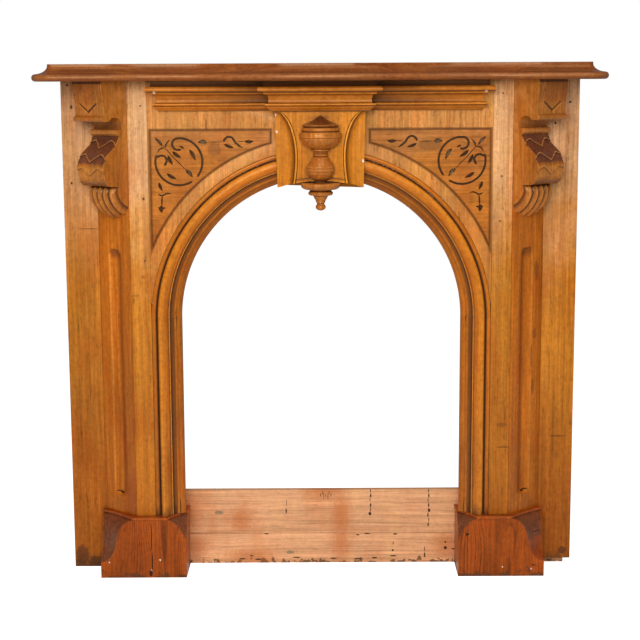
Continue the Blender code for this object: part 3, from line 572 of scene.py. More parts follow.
def spot_group():
    """A round or stretched spot at a place: 1 inside, 0 outside, with a soft ragged rim."""
    inputs = (("Place", VECTOR, None), ("Centre", VECTOR, None), ("Reach", VECTOR, None),
              ("Softness", FLOAT, 0.3))
    group, start, end = new_group("spot_mark", inputs, (("Mask", FLOAT),))
    away = add_node(group, "ShaderNodeVectorMath", {0: start.outputs["Place"], 1: start.outputs["Centre"]},
                    operation="SUBTRACT")
    unit = add_node(group, "ShaderNodeVectorMath", {0: away.outputs[0], 1: start.outputs["Reach"]},
                    operation="DIVIDE")
    length = add_node(group, "ShaderNodeVectorMath", {0: unit.outputs[0]}, operation="LENGTH")
    fray = calc(group, "SUBTRACT", noise(group, start.outputs["Place"], 160.0), 0.5)
    rag = times(group, fray, 0.7)
    edge = calc(group, "ADD", length.outputs["Value"], rag)
    inner = calc(group, "SUBTRACT", 1.0, start.outputs["Softness"])
    group.links.new(share(group, edge, 1.0, inner), end.inputs["Mask"])


def spandrel_group():
    """How far inside the outline of its spandrel a place lies, in metres."""
    group, start, end = new_group("spandrel_rim", (("Place", VECTOR, None),), (("Inside", FLOAT),))
    parts = add_node(group, "ShaderNodeSeparateXYZ", {0: start.outputs["Place"]})
    half = calc(group, "ABSOLUTE", parts.outputs[0])
    height = parts.outputs[2]
    from_outer = calc(group, "SUBTRACT", PANEL_OUTER, half)
    from_inner = calc(group, "SUBTRACT", half, PANEL_INNER_HALF)
    from_top = calc(group, "SUBTRACT", PANEL_TOP, height)
    rise = calc(group, "SUBTRACT", height, SPRING_HEIGHT)
    reach = calc(group, "SQRT", calc(group, "MULTIPLY_ADD", rise, rise, times(group, half, half)))
    from_arc = calc(group, "SUBTRACT", reach, PANEL_ARC_RADIUS)
    least = calc(group, "MINIMUM", calc(group, "MINIMUM", from_outer, from_inner),
                 calc(group, "MINIMUM", from_top, from_arc))
    group.links.new(least, end.inputs["Inside"])


def group_node(tree, name, feeds):
    """A node of one of the shared groups; its sockets exist once its tree is set."""
    made = add_node(tree, "ShaderNodeGroup", node_tree=bpy.data.node_groups[name])
    feed(tree, made, feeds)
    return made


def marks(tree, spot, listed, softness=0.3):
    """The strongest of several spot marks, each (centre, reach)."""
    total = None
    for centre, reach in listed:
        mask = group_node(tree, "spot_mark", {"Place": spot, "Centre": centre, "Reach": reach,
                                              "Softness": softness}).outputs[0]
        total = mask if total is None else calc(tree, "MAXIMUM", total, mask)
    return total


def laid(tree, base, mask, weight, over):
    """The base colour with another laid over it where the mask shows, at a weight."""
    return blend_colour(tree, times(tree, mask, weight), base, over)


def attribute(tree, name, output="Fac"):
    """A value stored on the points of the mesh."""
    return add_node(tree, "ShaderNodeAttribute", attribute_name=name).outputs[output]


def richer(colour, red, green, blue):
    """A colour with its parts multiplied, and its red kept within 1."""
    return Vector((min(1.0, colour.x * red), colour.y * green, colour.z * blue))


def flute_shading(tree, base, plank, height):
    """Shade in a flute: along its hollow, under its round top, and a lit line down its left edge."""
    foot = 0.207
    top = 0.857
    ramp = 0.019
    side = add_node(tree, "ShaderNodeSeparateXYZ", {0: plank}).outputs[0]
    inside = times(tree, share(tree, height, foot, foot + ramp), share(tree, height, top, top - ramp))
    shaded = times(tree, share(tree, side, -0.006, 0.012), share(tree, side, 0.036, 0.020))
    base = laid(tree, base, times(tree, shaded, inside), 0.60, (0.22, 0.052, 0.008))
    across = calc(tree, "ABSOLUTE", side)
    cap = times(tree, share(tree, height, top - 0.031, top - 0.011),
                share(tree, height, top + 0.003, top - 0.002))
    cap = times(tree, cap, share(tree, across, 0.021, 0.014))
    base = laid(tree, base, cap, 0.70, (0.13, 0.030, 0.006))
    lit = calc(tree, "COMPARE", side, -0.0215, 0.0022)
    return laid(tree, base, times(tree, lit, inside), 0.28, (0.62, 0.26, 0.05))


def patchy(tree, base, age, weight):
    """Broad redder and more golden patches in the finish."""
    base = blend_colour(tree, times(tree, age.outputs["Red"], weight), base, (0.92, 0.70, 0.50), "MULTIPLY")
    return blend_colour(tree, times(tree, age.outputs["Golden"], weight), base, (1.10, 1.17, 1.00),
                        "MULTIPLY")


def figured(tree, base, grain, age, figure, speckle):
    """The base colour lightened and darkened by fibres, broad figure and fine mottling."""
    fibre = share(tree, grain.outputs["Fibre"], 0.32, 0.68, 0.70, 1.28, False)
    broad = share(tree, grain.outputs["Figure"], 0.25, 0.75, 1 - figure, 1 + figure * 0.7, False)
    mottle = share(tree, age.outputs["Mottle"], 0.30, 0.70, 1 - 0.2 * speckle, 1 + 0.2 * speckle, False)
    tone = times(tree, times(tree, fibre, broad), mottle)
    tone = calc(tree, "MULTIPLY_ADD", grain.outputs["Flecks"], -0.28 * speckle, tone)
    grey = add_node(tree, "ShaderNodeCombineColor", {0: tone, 1: tone, 2: tone}).outputs[0]
    return blend_colour(tree, 1.0, base, grey, "MULTIPLY")


def wood(name, colour, ring_width=0.012, ring_share=0.45, late=None, ramp=(0.9, 1.3), top_sheen=None,
         sheen_share=0.8, low=None, low_span=(0.1, 0.6), grime=0.05, wander=1.0, start=0.0,
         roughness=0.34, bump=0.25, figure=0.30, holes_and_shadows=(), stains=(), pale_marks=(), shade_cuts_behind=None,
         hollow_share=0.85, coat=0.04, rubbed_and_lit_share=0.45, shaded_band=None, shaded_band_span=(0.0, 0.0),
         painted_dark_share=0.8, flute=False, dark_reflection=None, stain_share=0.72,
         stain_colour=(0.075, 0.022, 0.009), stain_softness=0.3, specks=0.0, rim=0.0, patches=0.6,
         speckle=1.0, pale_colour=(0.78, 0.66, 0.54)):
    """An aged pine finish with its own colours and marks, with painted light over it: a sheen at the top,
    shade in hollows, cuts and sunk rims, and highlights on edges and crests.
    """
    material = bpy.data.materials.new(name)
    material.use_nodes = True
    tree = material.node_tree
    shader = tree.nodes["Principled BSDF"]
    shade_and_dirt_colour = (0.062, 0.017, 0.006)
    colour = Vector(colour)
    plank = attribute(tree, "grain_place", "Vector")
    painted = attribute(tree, "painted")
    spot = add_node(tree, "ShaderNodeTexCoord").outputs["Object"]
    depth, height = add_node(tree, "ShaderNodeSeparateXYZ", {0: spot}).outputs[1:3]
    grain = group_node(tree, "pine_grain", {"Place": plank, "Ring Width": ring_width, "Wander": wander,
                                            "Start": start})
    age = group_node(tree, "finish_and_painted_light", {
        "Place": spot, "Hollow": attribute(tree, "hollow"), "Crease": attribute(tree, "crease"),
        "Edge": attribute(tree, "edge"), "Sheen Low": ramp[0], "Sheen High": ramp[1], "Grime Height": grime})
    base = colour
    # Painted shade: the colour turns darker and deeper towards the bottom, away from the light above.
    if low:
        base = blend_colour(tree, share(tree, height, low_span[1], low_span[0]), base, low)
    # Painted sheen: the colour turns paler towards the top, where the light glares on the polish.
    base = laid(tree, base, age.outputs["Top Sheen"], sheen_share, top_sheen or richer(colour, 1.35, 1.9, 6.0))
    # Painted shade and dark reflection over a band of heights, on the urn's upward-facing top under the
    # shelf.
    if shaded_band:
        rise = share(tree, height, shaded_band_span[0], shaded_band_span[0] + 0.014)
        fall = share(tree, height, shaded_band_span[1], shaded_band_span[1] - 0.010)
        base = laid(tree, base, times(tree, rise, fall), painted_dark_share, shaded_band)
    # Painted dark reflection stored per point: on the corbels' upper scales and in the foot blocks' scoops,
    # lighter over the top of the corbel blocks.
    if dark_reflection:
        base = laid(tree, base, attribute(tree, "dark_reflection"), painted_dark_share, dark_reflection)
    if flute:
        base = flute_shading(tree, base, plank, height)
    base = patchy(tree, base, age, patches)
    base = laid(tree, base, grain.outputs["Rings"], ring_share, late or richer(colour, 0.60, 0.44, 0.40))
    base = figured(tree, base, grain, age, figure, speckle)
    # Worn edges, paler where the wood is worn and as a painted highlight.
    base = laid(tree, base, age.outputs["Rubbed And Lit"], rubbed_and_lit_share, richer(colour, 1.5, 1.9, 3.2))
    # Dirt and painted shade darken the hollows and creases.
    base = laid(tree, base, age.outputs["Hollow Shade And Dirt"], hollow_share, shade_and_dirt_colour)
    # The painted attribute holds painted light and shade: above zero a painted highlight, below zero painted
    # shade. The weight named worn only makes the painted highlights patchy.
    worn = share(tree, age.outputs["Mottle"], 0.34, 0.62, 0.40, 0.85)
    base = laid(tree, base, share(tree, painted, 0.05, 0.95), worn, richer(colour, 1.60, 2.1, 3.4))
    base = laid(tree, base, share(tree, painted, -0.05, -0.95), 0.85, shade_and_dirt_colour)
    base = laid(tree, base, age.outputs["Grime"], 0.75, (0.055, 0.026, 0.012))
    base = laid(tree, base, age.outputs["Pits"], 0.65, (0.04, 0.015, 0.006))
    # Painted shade: the floors of the cut scrolls are darkened almost to black.
    if shade_cuts_behind is not None:
        sunk = times(tree, share(tree, depth, shade_cuts_behind + 0.0004, shade_cuts_behind + 0.0019),
                     share(tree, depth, shade_cuts_behind + 0.0060, shade_cuts_behind + 0.0046))
        base = laid(tree, base, sunk, 0.95, (0.018, 0.007, 0.004))
    # Painted shade along the rim of the sunk spandrels: inside it on the panels, just outside it on the front
    # board.
    if rim:
        inside = group_node(tree, "spandrel_rim", {"Place": spot}).outputs[0]
        near, far = (0.0025, 0.0085) if rim > 0 else (-0.0002, -0.0035)
        base = laid(tree, base, share(tree, inside, far, near), abs(rim), shade_and_dirt_colour)
    if stains:
        base = laid(tree, base, marks(tree, spot, stains, stain_softness), stain_share, stain_colour)
    if specks:
        bits = share(tree, noise(tree, spot, 190.0, 2.0, 0.6), 0.53, 0.60)
        bits = times(tree, bits, share(tree, painted, -0.90, -0.98))
        bits = times(tree, bits, share(tree, height, 0.95, 1.02))
        base = laid(tree, base, bits, specks, (0.70, 0.50, 0.34))
    if pale_marks:
        base = laid(tree, base, marks(tree, spot, pale_marks), 0.85, pale_colour)
    relief = times(tree, grain.outputs["Rings"], -0.5)
    relief = calc(tree, "MULTIPLY_ADD", grain.outputs["Fibre"], 0.7, relief)
    # Nail marks and cracks as dark dents; on the canted boards, a painted shadow at the stop of each flute.
    if holes_and_shadows:
        mask = marks(tree, spot, holes_and_shadows)
        base = laid(tree, base, mask, 0.94, (0.012, 0.006, 0.004))
        relief = calc(tree, "MULTIPLY_ADD", mask, -4.0, relief)
    rough = calc(tree, "MULTIPLY_ADD", grain.outputs["Fibre"], 0.10, roughness - 0.05)
    rough = calc(tree, "MULTIPLY_ADD", age.outputs["Hollow Shade And Dirt"], 0.25, rough)
    rough = calc(tree, "MULTIPLY_ADD", age.outputs["Grime"], 0.30, rough, clamp=True)
    bumped = add_node(tree, "ShaderNodeBump", {"Strength": bump, "Distance": 0.0012, "Height": relief})
    tree.links.new(base, shader.inputs["Base Color"])
    tree.links.new(rough, shader.inputs["Roughness"])
    tree.links.new(bumped.outputs[0], shader.inputs["Normal"])
    shader.inputs["Coat Weight"].default_value = coat
    shader.inputs["Coat Roughness"].default_value = 0.22
    shader.inputs["Specular IOR Level"].default_value = 0.30
    shader.inputs["Specular Tint"].default_value = (1.0, 0.66, 0.32, 1.0)
    shader.inputs["Metallic"].default_value = 0.0
    return material


PIECES = []


def finish_piece(item, name, nodes, material, grain=upright, angle=32, fine=True):
    """Names a piece, gives it its grain, finish and slot, and puts it on the frame.

    A fine piece has points enough to store its hollows and sharp edges.
    """
    item.name = name
    item.data.name = name
    smooth(item, angle)
    store_grain(item, grain)
    item.data.materials.clear()
    item.data.materials.append(material)
    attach(item, "root")
    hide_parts(*nodes)
    PIECES.append((item, fine))


SIDES = ((-1, "left"), (1, "right"))


def mark(x, y, z, wide, tall, deep=0.01):
    """A mark's place, and how far it reaches across, into the wood and up."""
    return (x, y, z), (wide, deep, tall)


def hole(x, y, z, radius=0.0034, tall=1.0):
    """A mark for a nail hole, as tall as it is wide or stretched."""
    return mark(x, y, z, radius, radius * tall)


# Shelf

def shelf_outline(sizes):
    """Plan of the shelf's ends and front, as (x, depth) from the back left corner to the back right."""
    dip_outer = STILE_INNER - 0.013
    dip_inner = dip_outer - 0.090
    ear = dip_outer + 0.125
    bow_half = 0.070

    def depth_at(half):
        if half < dip_outer:
            t = (half - bow_half) / (dip_inner - bow_half)
            return sizes.bow_depth - (sizes.bow_depth - sizes.dip_depth) * ease(t)
        t = (half - dip_outer) / (ear - dip_outer)
        return sizes.dip_depth + (sizes.ear_depth - sizes.dip_depth) * ease(t)

    steps = 90
    corner_half = SHELF_HALF - sizes.corner_radius
    corner = arc((corner_half, sizes.ear_depth - sizes.corner_radius), sizes.corner_radius, 0, 90, 14)
    left = [(SHELF_HALF, 0.0)] + corner
    for i in range(1, steps):
        half = corner_half * (1 - i / steps)
        left.append((half, depth_at(half)))
    left = [(-half, depth) for half, depth in left]
    return left + [(0.0, sizes.bow_depth)] + [(-x, depth) for x, depth in reversed(left)]


def shelf_edge(sizes):
    """Edge of the shelf from top to underside, as (set back from the nose, height)."""
    top = OVERALL_HEIGHT
    nose = sizes.nose_height / 2
    step = 0.004
    cove_foot = SHELF_UNDERSIDE + sizes.nose_height
    cove_height = top - cove_foot - step
    back = sizes.cove_depth + nose
    points = [(back + 0.0012, top), (back + 0.0003, top - 0.0004), (back, top - 0.0014), (back, top - step)]
    for i in range(1, 10):
        angle = math.radians(90 * i / 9)
        points.append((nose + sizes.cove_depth * math.cos(angle) ** 1.15,
                       cove_foot + cove_height * (1 - math.sin(angle))))
    for i in range(1, 15):
        angle = math.radians(90 - 180 * i / 14)
        points.append((nose - nose * math.cos(angle), SHELF_UNDERSIDE + nose + nose * math.sin(angle)))
    return points


class MANTEL_OT_shelf(bpy.types.Operator):
    """Models the serpentine shelf with its cove and round nose"""

    bl_idname = "mantel.shelf"
    bl_label = "Shelf"

    def execute(self, context):
        sizes = context.scene.mantel_shelf
        outline = shelf_outline(sizes)
        last = len(outline) - 1
        inwards = []
        for i, (x, _) in enumerate(outline):
            along = (Vector(outline[min(last, i + 1)]) - Vector(outline[max(0, i - 1)])).normalized()
            inward = Vector((along.y, -along.x))
            inwards.append(Vector((-math.copysign(1, x), 0)) if i in (0, last) else inward)
        rings = []
        for set_back, height in shelf_edge(sizes):
            ring = []
            for (x, depth), inward in zip(outline, inwards):
                spot = Vector((x, depth)) + set_back * inward
                ring.append(Vector((spot.x, BACK_Y - spot.y, height)))
            rings.append(ring)
        # Painted highlight along the crown of the round nose.
        tones = []
        for set_back, height in shelf_edge(sizes):
            middle = SHELF_UNDERSIDE + sizes.nose_height * 0.62
            crown = 0.75 - abs(height - middle) / sizes.nose_height * 1.6
            tones.append([crown if set_back < sizes.nose_height else 0.0] * len(outline))
        item = swept("shelf", rings, {"painted": tones})
        colours = context.scene.mantel_colours
        finish = wood("shelf_finish", colours.shelf, ring_width=0.020, ring_share=0.5, ramp=(2, 3),
                      wander=0.6, start=3.1, roughness=0.25, coat=0.06, figure=0.42, rubbed_and_lit_share=0.55,
                      stains=(mark(-0.58, -0.05, 1.30, 0.09, 0.02, 0.2),
                              mark(0.33, -0.06, 1.30, 0.09, 0.02, 0.2)),
                      stain_share=0.25)
        finish_piece(item, "mantel_shelf_wood", ["mantel_shelf"], finish, lengthwise, 40)
        return {"FINISHED"}


# Moulding under the shelf

def bed_profile(reach):
    """Bed moulding from its top down, as (proud of the board, height, painted light and shade)."""
    band_foot = SHELF_UNDERSIDE - 0.014
    roll = 0.0075
    bead = 0.003
    ogee = 0.013
    points = [(0.022, LEG_TOP), (0.022, band_foot + 0.0008), (0.0226, band_foot)]
    points += [(reach - roll + x, band_foot - roll + z) for x, z in arc((0, 0), roll, 90, -60, 12)]
    fillet_top = band_foot - 1.9 * roll
    cove_top = fillet_top - 0.005
    points += [(reach * 0.62, fillet_top), (reach * 0.615, fillet_top - 0.0008), (reach * 0.60, cove_top)]
    cove_foot = BED_BOTTOM + ogee + 2 * bead
    points += bezier((reach * 0.52, cove_top), (reach * 0.20, cove_top),
                     (reach * 0.20, cove_foot), (reach * 0.34, cove_foot), 12)
    points += arc((reach * 0.44, cove_foot - bead), bead, 80, -80, 8)
    ogee_top = BED_BOTTOM + ogee
    ogee_middle = BED_BOTTOM + ogee / 2
    points += bezier((reach * 0.40, ogee_top), (reach * 0.40, ogee_middle),
                     (reach * 0.18, ogee_middle), (reach * 0.16, BED_BOTTOM), 9)
    # Painted light and shade, point by point: shade under the shelf and in the cove, highlights on the roll,
    # bead and ogee crests.
    tones = [-1.0, -1.0, -0.8]
    tones += [-0.5, 0.1, 0.35, 0.4, 0.3, 0.2, 0.1, 0.0, -0.1, -0.2, -0.5, -0.8, -1.0]
    tones += [-0.7, -0.1, 0.35]
    tones += [-0.5, -0.4, -0.3, -0.2, -0.1, 0.0, 0.1, 0.1, 0.0, -0.1, -0.4, -0.9]
    tones += [0.2, 0.6, 0.8, 0.7, 0.4, 0.1, -0.3, -0.7, -1.0]
    tones += [-0.3, 0.2, 0.3, 0.2, 0.0, -0.1, -0.2, -0.4, -0.8]
    return [(proud, height, tone) for (proud, height), tone in zip(points, tones, strict=True)]


class MANTEL_OT_bed_mouldings(bpy.types.Operator):
    """Models the moulding under the shelf: two long runs and the break over the keystone"""

    bl_idname = "mantel.bed_mouldings"
    bl_label = "Bed Mouldings"

    def execute(self, context):
        colours = context.scene.mantel_colours
        face = FRONT + FIT_GAP
        profile = bed_profile(context.scene.mantel_mouldings.bed_reach)
        end_half = STILE_INNER - 0.034
        break_half = KEY_TOP_HALF + 0.005
        chips = []
        for side in (-1, 1):
            chips += [mark(side * (end_half + 0.012), BACK_Y - face - 0.012, 1.255, 0.005, 0.004, 0.03),
                      mark(side * (break_half + 0.006), BACK_Y - face - 0.020, 1.243, 0.004, 0.003, 0.03),
                      mark(side * (break_half + 0.024), BACK_Y - face - 0.030, 1.262, 0.003, 0.002, 0.03)]
        finish = wood("bed_moulding_finish", Vector(colours.mouldings) * 0.92, ring_width=0.017,
                      ring_share=0.5, ramp=(2, 3), wander=0.5, start=1.7, roughness=0.3, coat=0.05,
                      rubbed_and_lit_share=0.7, hollow_share=0.8, pale_marks=chips)
        for side, word in SIDES:
            rings = []
            for proud, height, _ in profile:
                gap = FIT_GAP * 2
                plan = ((end_half + proud, face), (end_half + proud, face + proud),
                        (break_half + gap + proud, face + proud), (break_half + gap, face))
                rings.append([place(side, half, depth, height) for half, depth in plan])
            item = swept("bed", rings, {"painted": [[tone] * 4 for _, _, tone in profile]})
            finish_piece(item, f"bed_moulding_{word}_wood", [f"bed_moulding_{word}"], finish,
                         lengthwise, 40)
        rings = []
        for proud, height, _ in profile:
            front = face + 0.040 + proud
            half = break_half + proud
            plan = ((-1, break_half, face), (-1, half, face + proud), (-1, half, front),
                    (1, half, front), (1, half, face + proud), (1, break_half, face))
            rings.append([place(way, wide, depth, height) for way, wide, depth in plan])
        item = swept("bed", rings, {"painted": [[tone] * 6 for _, _, tone in profile]})
        finish_piece(item, "bed_moulding_center_wood", ["bed_moulding_center"], finish,
                     lengthwise, 40)
        return {"FINISHED"}


# Boards

class MANTEL_OT_boards(bpy.types.Operator):
    """Dresses the wing boards, the front stiles and the board over the arch"""

    bl_idname = "mantel.boards"
    bl_label = "Boards"

    def execute(self, context):
        colours = context.scene.mantel_colours
        softness = context.scene.mantel_carving.edge_softness
        wing_y = BACK_Y - WING_FRONT
        front_y = BACK_Y - FRONT
        wing_holes = {
            "left": (hole(-0.6424, wing_y, 1.2722), hole(-0.6337, wing_y, 1.2168, 0.0036, 1.5),
                     hole(-0.6388, wing_y, 1.0236, 0.003, 1.6), mark(-0.600, wing_y, 0.906, 0.030, 0.0011)),
            "right": (hole(0.636, wing_y, 1.2244), hole(0.5992, wing_y, 1.1713),
                      mark(0.6198, wing_y, 0.352, 0.030, 0.0012)),
        }
        wing_stains = {
            "left": (mark(-0.640, wing_y, 0.030, 0.020, 0.034, 0.05),
                     mark(-0.600, wing_y, 0.012, 0.03, 0.02, 0.05)),
            "right": (mark(0.640, wing_y, 0.040, 0.012, 0.012, 0.05),),
        }
        # Colours of the painted sheen at the top of each wing; the right one is paler to offset the shadow
        # the corbel casts there.
        wing_top_sheen = {"left": (0.48, 0.250, 0.125), "right": (0.72, 0.420, 0.230)}
        stile_holes = {
            "left": (hole(-0.4491, front_y, 1.2214, 0.0026), hole(-0.446, front_y, 0.9892, 0.0032, 1.3),
                     hole(-0.4465, front_y, 0.8318, 0.0026)),
            "right": (hole(0.4561, front_y, 1.2485, 0.0026), hole(0.4551, front_y, 1.042, 0.0030),
                      hole(0.4522, front_y, 0.9285, 0.0026), mark(0.470, front_y, 0.342, 0.024, 0.0012)),
        }
        stile_stains = {
            "left": (mark(-0.452, front_y, 0.790, 0.006, 0.005, 0.05),
                     mark(-0.474, front_y, 0.742, 0.012, 0.0022, 0.05),
                     mark(-0.478, front_y, 0.730, 0.004, 0.010, 0.05)),
            "right": (mark(0.466, front_y, 0.402, 0.018, 0.006, 0.05),),
        }
        for side, word in SIDES:
            item = copied(f"wing_board_{word}")
            soften(item, softness)
            finish = wood(f"wing_finish_{word}", colours.boards, ring_width=0.021, ring_share=0.35,
                          ramp=(0.72, 1.30), top_sheen=wing_top_sheen[word], low=(0.38, 0.098, 0.009),
                          low_span=(0.12, 0.62), start=2.3 + side, wander=0.8, holes_and_shadows=wing_holes[word],
                          stains=wing_stains[word], grime=0.045)
            finish_piece(item, f"wing_board_{word}_wood", [f"wing_board_{word}"], finish,
                         fine=False)
            item = copied(f"front_stile_{word}")
            soften(item, softness)
            finish = wood(f"stile_finish_{word}", Vector(colours.boards) * 0.98, ring_width=0.026,
                          ring_share=0.28, ramp=(0.72, 1.16), top_sheen=(0.68, 0.36, 0.165),
                          low=(0.45, 0.135, 0.014), low_span=(0.15, 0.65), start=5.3 + side, wander=0.7,
                          holes_and_shadows=stile_holes[word], grime=0.0, stains=stile_stains[word], stain_share=0.4)
            finish_piece(item, f"front_stile_{word}_wood", [f"front_stile_{word}"], finish,
                         fine=False)
        item = copied("arch_front_board")
        soften(item, 0.0006, 1)
        finish = wood("front_board_finish", colours.front, ring_width=0.0065, ring_share=0.26,
                      ramp=(0.8, 1.25), top_sheen=(0.56, 0.235, 0.062), sheen_share=0.8, start=0.6, wander=1.6,
                      rim=-0.6, figure=0.36,
                      stains=(mark(-0.2859, front_y, 1.17, 0.002, 0.02, 0.05),), grime=0.0)
        finish_piece(item, "arch_front_board_wood", ["arch_front_board"], finish, fine=False)
        return {"FINISHED"}


def across_canted(co):
    """Place in a canted board: across its face from the flute's middle, out of its face, and height."""
    along = Vector((-CANT_RUN, CANT_DEPTH)).normalized()
    out = Vector((along.y, -along.x))
    middle = Vector((WING_INNER - CANT_RUN / 2, WING_FRONT + CANT_DEPTH / 2))
    spot = Vector((abs(co.x), BACK_Y - co.y)) - middle
    return Vector((spot.dot(along), spot.dot(out), co.z))


class MANTEL_OT_canted_pilasters(bpy.types.Operator):
    """Dresses the canted boards with their round-bottomed flutes"""

    bl_idname = "mantel.canted_pilasters"
    bl_label = "Canted Pilasters"

    def execute(self, context):
        colours = context.scene.mantel_colours
        for side, word in SIDES:
            item = copied(f"canted_pilaster_{word}")
            soften(item, 0.0007, 1, 38)
            # Painted shadow under the stop at the foot of each flute.
            flute_stop_shadow = (mark(side * 0.5330, BACK_Y - 0.079, 0.217, 0.012, 0.0022, 0.03),
                    mark(side * 0.5240, BACK_Y - 0.083, 0.2145, 0.006, 0.0040, 0.03))
            streaks = (mark(0.556, 0.075, 0.795, 0.008, 0.030, 0.03),
                       mark(0.553, 0.075, 0.630, 0.007, 0.018, 0.03),
                       mark(0.550, 0.075, 0.490, 0.005, 0.026, 0.03),
                       mark(0.545, 0.075, 0.570, 0.003, 0.040, 0.03))
            finish = wood(f"canted_finish_{word}", colours.canted, ring_width=0.015, ring_share=0.42,
                          ramp=(1.5, 2.5), low=(0.42, 0.112, 0.009), start=7.1 + side, wander=0.9,
                          holes_and_shadows=flute_stop_shadow, grime=0.0, flute=True, stains=streaks if side > 0 else (),
                          stain_share=0.45, patches=0.8)
            finish_piece(item, f"canted_pilaster_{word}_wood", [f"canted_pilaster_{word}"],
                         finish, across_canted, fine=False)
        return {"FINISHED"}


# Arch and jamb mouldings

def moulding_tones():
    """Painted light and shade on each point of the moulding's section: 1 a painted highlight, -1 painted
    shade.
    """
    bead = [-0.5, -0.3, 0.0, 0.15, 0.0, -0.4, -0.8, -1.0]
    torus = [-0.8, -0.3, 0.2, 0.45, 0.6, 0.75, 0.65, 0.5, 0.4, 0.3, 0.2, 0.1, 0.0, -0.2, -0.3, -0.5,
             -0.3]
    fillet = [0.7, 0.8, -0.6, -0.85]
    reveal = [-0.55, -0.35, -0.2, -0.1, 0.0, 0.1, 0.1, 0.1, 0.1]
    return [0.0, -0.6] + bead + [-1.0, -1.0] + torus + fillet + [-0.75] + reveal + [0.0, 0.0, 0.0]


def moulding_section(sizes, lean):
    """Section of the moulding, as (radius from the arch centre, depth); the reveal leans back by lean."""
    radius = MOULDING_OUTER
    bead_proud = 0.003
    torus_proud = 0.005
    fillet_sink = 0.007
    groove = sizes.groove_depth
    points = [(radius, FRONT_BACK), (radius, FRONT)]
    bead_middle = radius - sizes.bead_width / 2
    for i in range(1, 9):
        angle = math.pi * i / 9
        points.append((bead_middle + sizes.bead_width / 2 * math.cos(angle),
                       FRONT + bead_proud * math.sin(angle)))
    radius -= sizes.bead_width
    points += [(radius, FRONT - 0.007), (radius - 0.002, FRONT - 0.007)]
    radius -= 0.002
    middle = radius - sizes.torus_width / 2
    torus_foot = FRONT - fillet_sink
    for i in range(0, 17):
        angle = math.pi * i / 16
        points.append((middle + sizes.torus_width / 2 * math.cos(angle),
                       torus_foot + (torus_proud + fillet_sink) * math.sin(angle) ** 0.8))
    radius -= sizes.torus_width
    points += [(radius - 0.0004, torus_foot + 0.0004), (radius - 0.0026, torus_foot + 0.0004),
               (radius - 0.003, torus_foot - 0.00075), (radius - 0.003, FRONT - groove)]
    radius -= 0.009
    points.append((radius, FRONT - groove))
    nose = FRONT - 0.022
    inner = OPENING_RADIUS
    points += bezier((radius, nose), (inner + 0.007, nose), (inner, nose - 0.007), (inner, nose - 0.021), 9)
    points += [(inner + lean, WING_BACK), (inner + 0.014, WING_BACK), (inner + 0.014, FRONT_BACK)]
    return points


def round_arch(co):
    """Place in a board whose grain runs round the arch."""
    middle_radius = 0.4
    rise = co.z - SPRING_HEIGHT
    return Vector((math.hypot(co.x, rise), co.y, middle_radius * math.atan2(rise, abs(co.x))))


class MANTEL_OT_arch_mouldings(bpy.types.Operator):
    """Models the moulding round the opening: two quarter arches and two jambs"""

    bl_idname = "mantel.arch_mouldings"
    bl_label = "Arch and Jamb Mouldings"

    def execute(self, context):
        sizes = context.scene.mantel_mouldings
        colours = context.scene.mantel_colours
        tones = moulding_tones()
        under_points = 11
        lean = 0.005
        for side, word in SIDES:
            finish = wood(f"moulding_finish_{word}", colours.mouldings, ring_width=0.010, ring_share=0.40,
                          ramp=(2, 3), start=4.2 + side, wander=0.7, roughness=0.28, coat=0.06, bump=0.3,
                          rubbed_and_lit_share=0.65, hollow_share=0.92, low=(0.40, 0.110, 0.013),
                          low_span=(0.1, 0.7), grime=0.0, figure=0.34, specks=0.75)
            rings = []
            turned_tones = []
            crown_gap = FIT_GAP / OPENING_RADIUS
            for i in range(sizes.arch_steps + 1):
                angle = min(math.pi / 2 * i / sizes.arch_steps, math.pi / 2 - crown_gap)
                section = moulding_section(sizes, lean * math.cos(angle))
                rings.append([place(side, radius * math.cos(angle), depth,
                                    SPRING_HEIGHT + radius * math.sin(angle)) for radius, depth in section])
                # Painted shade on the reveal, deeper towards the crown where it faces down.
                under = 0.45 * math.sin(angle)
                turned_tones.append(tones[:-under_points] + [tone - under for tone in tones[-under_points:]])
            item = swept("arch", rings, {"painted": turned_tones})
            finish_piece(item, f"arch_moulding_{word}_wood", [f"arch_moulding_{word}"], finish,
                         round_arch, 40)
            steps = 12
            section = moulding_section(sizes, lean)
            rings = []
            for i in range(steps + 1):
                height = LEG_FOOT + (SPRING_HEIGHT - FIT_GAP - LEG_FOOT) * i / steps
                rings.append([place(side, radius, depth, height) for radius, depth in section])
            item = swept("jamb", rings, {"painted": [tones] * len(rings)})
            finish_piece(item, f"jamb_moulding_{word}_wood", [f"jamb_moulding_{word}"], finish,
                         upright, 40)
        return {"FINISHED"}


# Spandrel panels

def panel_outline(inset, steps=48):
    """Outline of a spandrel as (half, height), drawn in by an inset from its edge."""
    outer = PANEL_OUTER - inset
    inner = PANEL_INNER_HALF + inset
    top = PANEL_TOP - inset
    radius = PANEL_ARC_RADIUS + inset
    start = math.acos(inner / radius)
    end = math.acos(outer / radius)
    points = [(outer, top), (inner, top)]
    for i in range(steps + 1):
        angle = start + (end - start) * i / steps
        points.append((radius * math.cos(angle), SPRING_HEIGHT + radius * math.sin(angle)))
    return points


